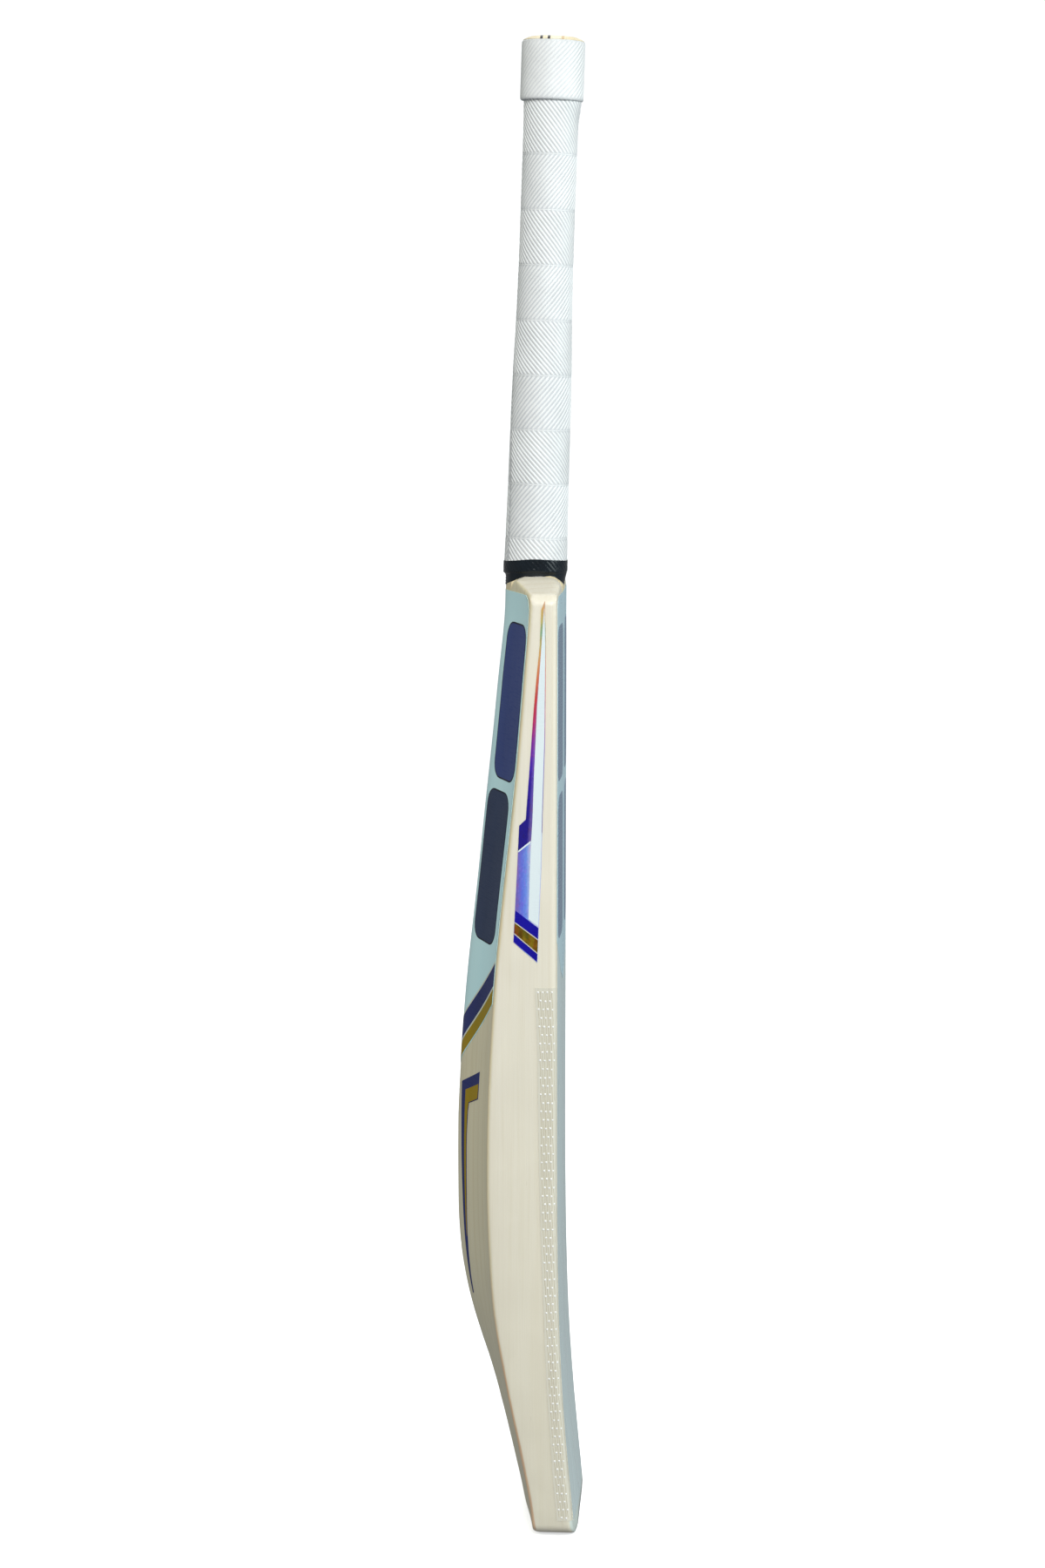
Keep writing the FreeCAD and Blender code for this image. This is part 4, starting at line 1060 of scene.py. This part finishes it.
# ------------------------------------------------------------------ edge tape: rows of raised dots and threads
BORDER = [(-10, -2.5), (12, -0.9), (36, 1.3), (62, 3.1), (88, 4.9), (128, 6.6), (179, 8.5), (218, 9.5), (254, 10.1),
          (294, 10.7), (312, 11.4), (340, 12.4)]
FACE_Y = [(0, -11.4), (9, -10.0), (24, -8.5), (36, -7.4), (50, -6.1), (64, -4.95), (78, -3.9), (92, -3), (106, -2.25), (122, -1.6),
          (140, -1.05), (160, -.6), (185, -.25), (212, -.05), (240, 0), (600, 0)]
COLS4 = (1.6, 4.2, 6.8, 9.4)
COLS3 = (2.9, 5.5, 8.1)
for side in ("left", "right"):
    nd = ["edge_tape_" + side]
    out = Vector((-1, 0, 0)) if side == "left" else Vector((1, 0, 0))
    verts, faces = [], []
    row, z = 0, 324.4
    while z > 13.2:
        for c in (COLS4 if row % 2 == 0 else COLS3):
            y = interp(BORDER, z, 1) - c + random.uniform(-0.10, 0.10)
            zz = z + random.uniform(-0.22, 0.22)
            if y < interp(FACE_Y, zz, 1) + 1.0:
                continue
            p, n = cast(side + nd[0], nd, Vector((0, y + SHIFT, zz)) + out * 120, -out)
            if p is None:
                continue
            if n.dot(out) < 0:
                n = -n
            p = p / MM
            t1 = Vector((0, 1, 0)) - n * n.y
            t1.normalize()
            t2 = n.cross(t1)
            ry, rz = 0.56 * random.uniform(0.9, 1.12), 0.58 * random.uniform(0.9, 1.12)
            s = len(verts)
            lv = [(1.0, 0.0), (0.92, 0.10), (0.62, 0.20)]
            for f, h in lv:
                for q in range(10):
                    a = 2 * math.pi * q / 10
                    verts.append(p + t1 * (ry * f * math.cos(a)) + t2 * (rz * f * math.sin(a)) + n * (h + 0.01))
            verts.append(p + n * 0.245)
            for L in range(2):
                for q in range(10):
                    a, b = s + L * 10 + q, s + L * 10 + (q + 1) % 10
                    faces.append((a, b, b + 10, a + 10))
            for q in range(10):
                faces.append((s + 20 + q, s + 20 + (q + 1) % 10, s + 30))
            faces.append(tuple(s + q for q in reversed(range(10))))
        row += 1
        z -= 4.93
    make_object("edge_dots_" + side, verts, faces, M["dots"])
    # wavy threads down the tape
    verts, faces = [], []
    for ci, c in enumerate(sorted(COLS4 + COLS3)):
        prev = None
        z = 325.0
        ph = 1.7 * ci
        while z > 14.0:
            y = interp(BORDER, z, 1) - c - 0.13 * math.sin(2 * math.pi * z / 9.86 + (math.pi if ci % 2 else 0)) - 0.05 * math.sin(z / 5.3 + ph)
            if y < interp(FACE_Y, z, 1) + 0.8:
                prev = None
                z -= 1.2
                continue
            p, n = cast(side + nd[0], nd, Vector((0, y + SHIFT, z)) + out * 120, -out)
            if p is None:
                prev = None
                z -= 1.2
                continue
            if n.dot(out) < 0:
                n = -n
            p = p / MM
            w = 0.13
            s = len(verts)
            yy = Vector((0, 1, 0))
            verts += [p - yy * w + n * 0.005, p - yy * w * 0.5 + n * 0.07, p + yy * w * 0.5 + n * 0.07, p + yy * w + n * 0.005]
            if prev is not None:
                for j in range(4):
                    j2 = (j + 1) % 4
                    faces.append((prev + j, prev + j2, s + j2, s + j))
            else:
                faces.append((s, s + 1, s + 2, s + 3))
            zn = z - 1.2
            nxt_y = interp(BORDER, zn, 1) - c - 0.13 * math.sin(2 * math.pi * zn / 9.86 + (math.pi if ci % 2 else 0)) - 0.05 * math.sin(zn / 5.3 + ph)
            if z - 1.2 <= 14.0 or nxt_y < interp(FACE_Y, z - 1.2, 1) + 0.8:
                faces.append((s + 3, s + 2, s + 1, s))
            prev = s
            z -= 1.2
    make_object("edge_threads_" + side, verts, faces, M["thread"])


# ------------------------------------------------------------------ floor, light and camera
def sweep():
    """A pale round floor that curves up into a wall behind."""
    vs, fs = [], []
    prof = [(0.0, 0.0), (0.8, 0.0), (1.8, 0.0), (3.0, 0.0)]
    for i in range(1, 13):
        a = math.radians(7.5 * i)
        prof.append((3.0 + 1.3 * math.sin(a), 1.3 - 1.3 * math.cos(a)))
    prof += [(4.3, 2.4), (4.3, 3.6)]
    n = 96
    vs.append((0, 0, 0))
    for r, z in prof[1:]:
        for i in range(n):
            a = 2 * math.pi * i / n
            vs.append((r * math.cos(a), r * math.sin(a), z))
    for i in range(n):
        fs.append((0, 1 + i, 1 + (i + 1) % n))
    for k in range(len(prof) - 2):
        for i in range(n):
            a = 1 + k * n + i
            b = 1 + k * n + (i + 1) % n
            fs.append((a, a + n, b + n, b))
    me = bpy.data.meshes.new("studio_sweep")
    me.from_pydata(vs, [], fs)
    me.polygons.foreach_set("use_smooth", [True] * len(me.polygons))
    o = bpy.data.objects.new("studio_sweep", me)
    bpy.context.scene.collection.objects.link(o)
    g = G("studio_paper")
    nn = g.noise(g.map(scale=(2, 2, 2)), 1.0, 2.0, 0.5)
    paper = g.mix(nn, lin((244, 246, 247)), lin((250, 250, 250)))
    g.set(color=paper, rough=0.9, spec=0.1)
    g.put(g.b.inputs["Emission Color"], paper)
    g.b.inputs["Emission Strength"].default_value = 0.62
    o.visible_diffuse = False
    o.visible_glossy = False
    me.materials.append(g.m)
    o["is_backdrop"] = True
    return o


sweep()


def area(name, loc, target, size, power, color=(1, 1, 1)):
    ld = bpy.data.lights.new(name, "AREA")
    ld.shape = "RECTANGLE"
    ld.size, ld.size_y = size
    ld.energy = power
    ld.color = color
    o = bpy.data.objects.new(name, ld)
    bpy.context.scene.collection.objects.link(o)
    o.location = loc
    o.rotation_mode = "QUATERNION"
    o.rotation_quaternion = (Vector(target) - Vector(loc)).to_track_quat("-Z", "Y")
    return o


area("key", (-3.0, -0.7, 2.4), (0, 0, 0.5), (1.5, 1.5), 103, (1.0, 0.995, 0.985))
area("face_side", (-0.9, -2.8, 1.2), (0, 0, 0.35), (1.8, 1.8), 41, (0.86, 0.98, 0.98))
area("back_side", (-0.8, 1.9, 1.75), (0, 0, 0.62), (1.2, 1.2), 8.5, (1.0, 1.0, 0.80))
area("rim", (1.4, 0.2, 2.9), (0, 0, 0.5), (1.4, 1.4), 20)

w = bpy.data.worlds.new("studio")
bpy.context.scene.world = w
w.use_nodes = True
bg = w.node_tree.nodes["Background"]
bg.inputs[0].default_value = (0.96, 0.98, 1.0, 1.0)
bg.inputs[1].default_value = 0.30

az, pitch, dist = math.radians(273.63), math.radians(8.5), 1.7
cd = bpy.data.cameras.new("camera")
cam = bpy.data.objects.new("camera", cd)
bpy.context.scene.collection.objects.link(cam)
cam.location = (math.sin(az) * dist, -math.cos(az) * dist + (22.45 + SHIFT) * MM, 0.689)
fwd = Vector((-math.sin(az) * math.cos(pitch), math.cos(az) * math.cos(pitch), -math.sin(pitch)))
cam.rotation_mode = "QUATERNION"
cam.rotation_quaternion = fwd.to_track_quat("-Z", "Y")
cd.sensor_width = 36.0
cd.lens = 3424.5 / 1800.0 * 36.0
cd.clip_start, cd.clip_end = 0.05, 30.0
bpy.context.scene.camera = cam
bpy.context.scene.view_settings.view_transform = "Standard"

lo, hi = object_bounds()
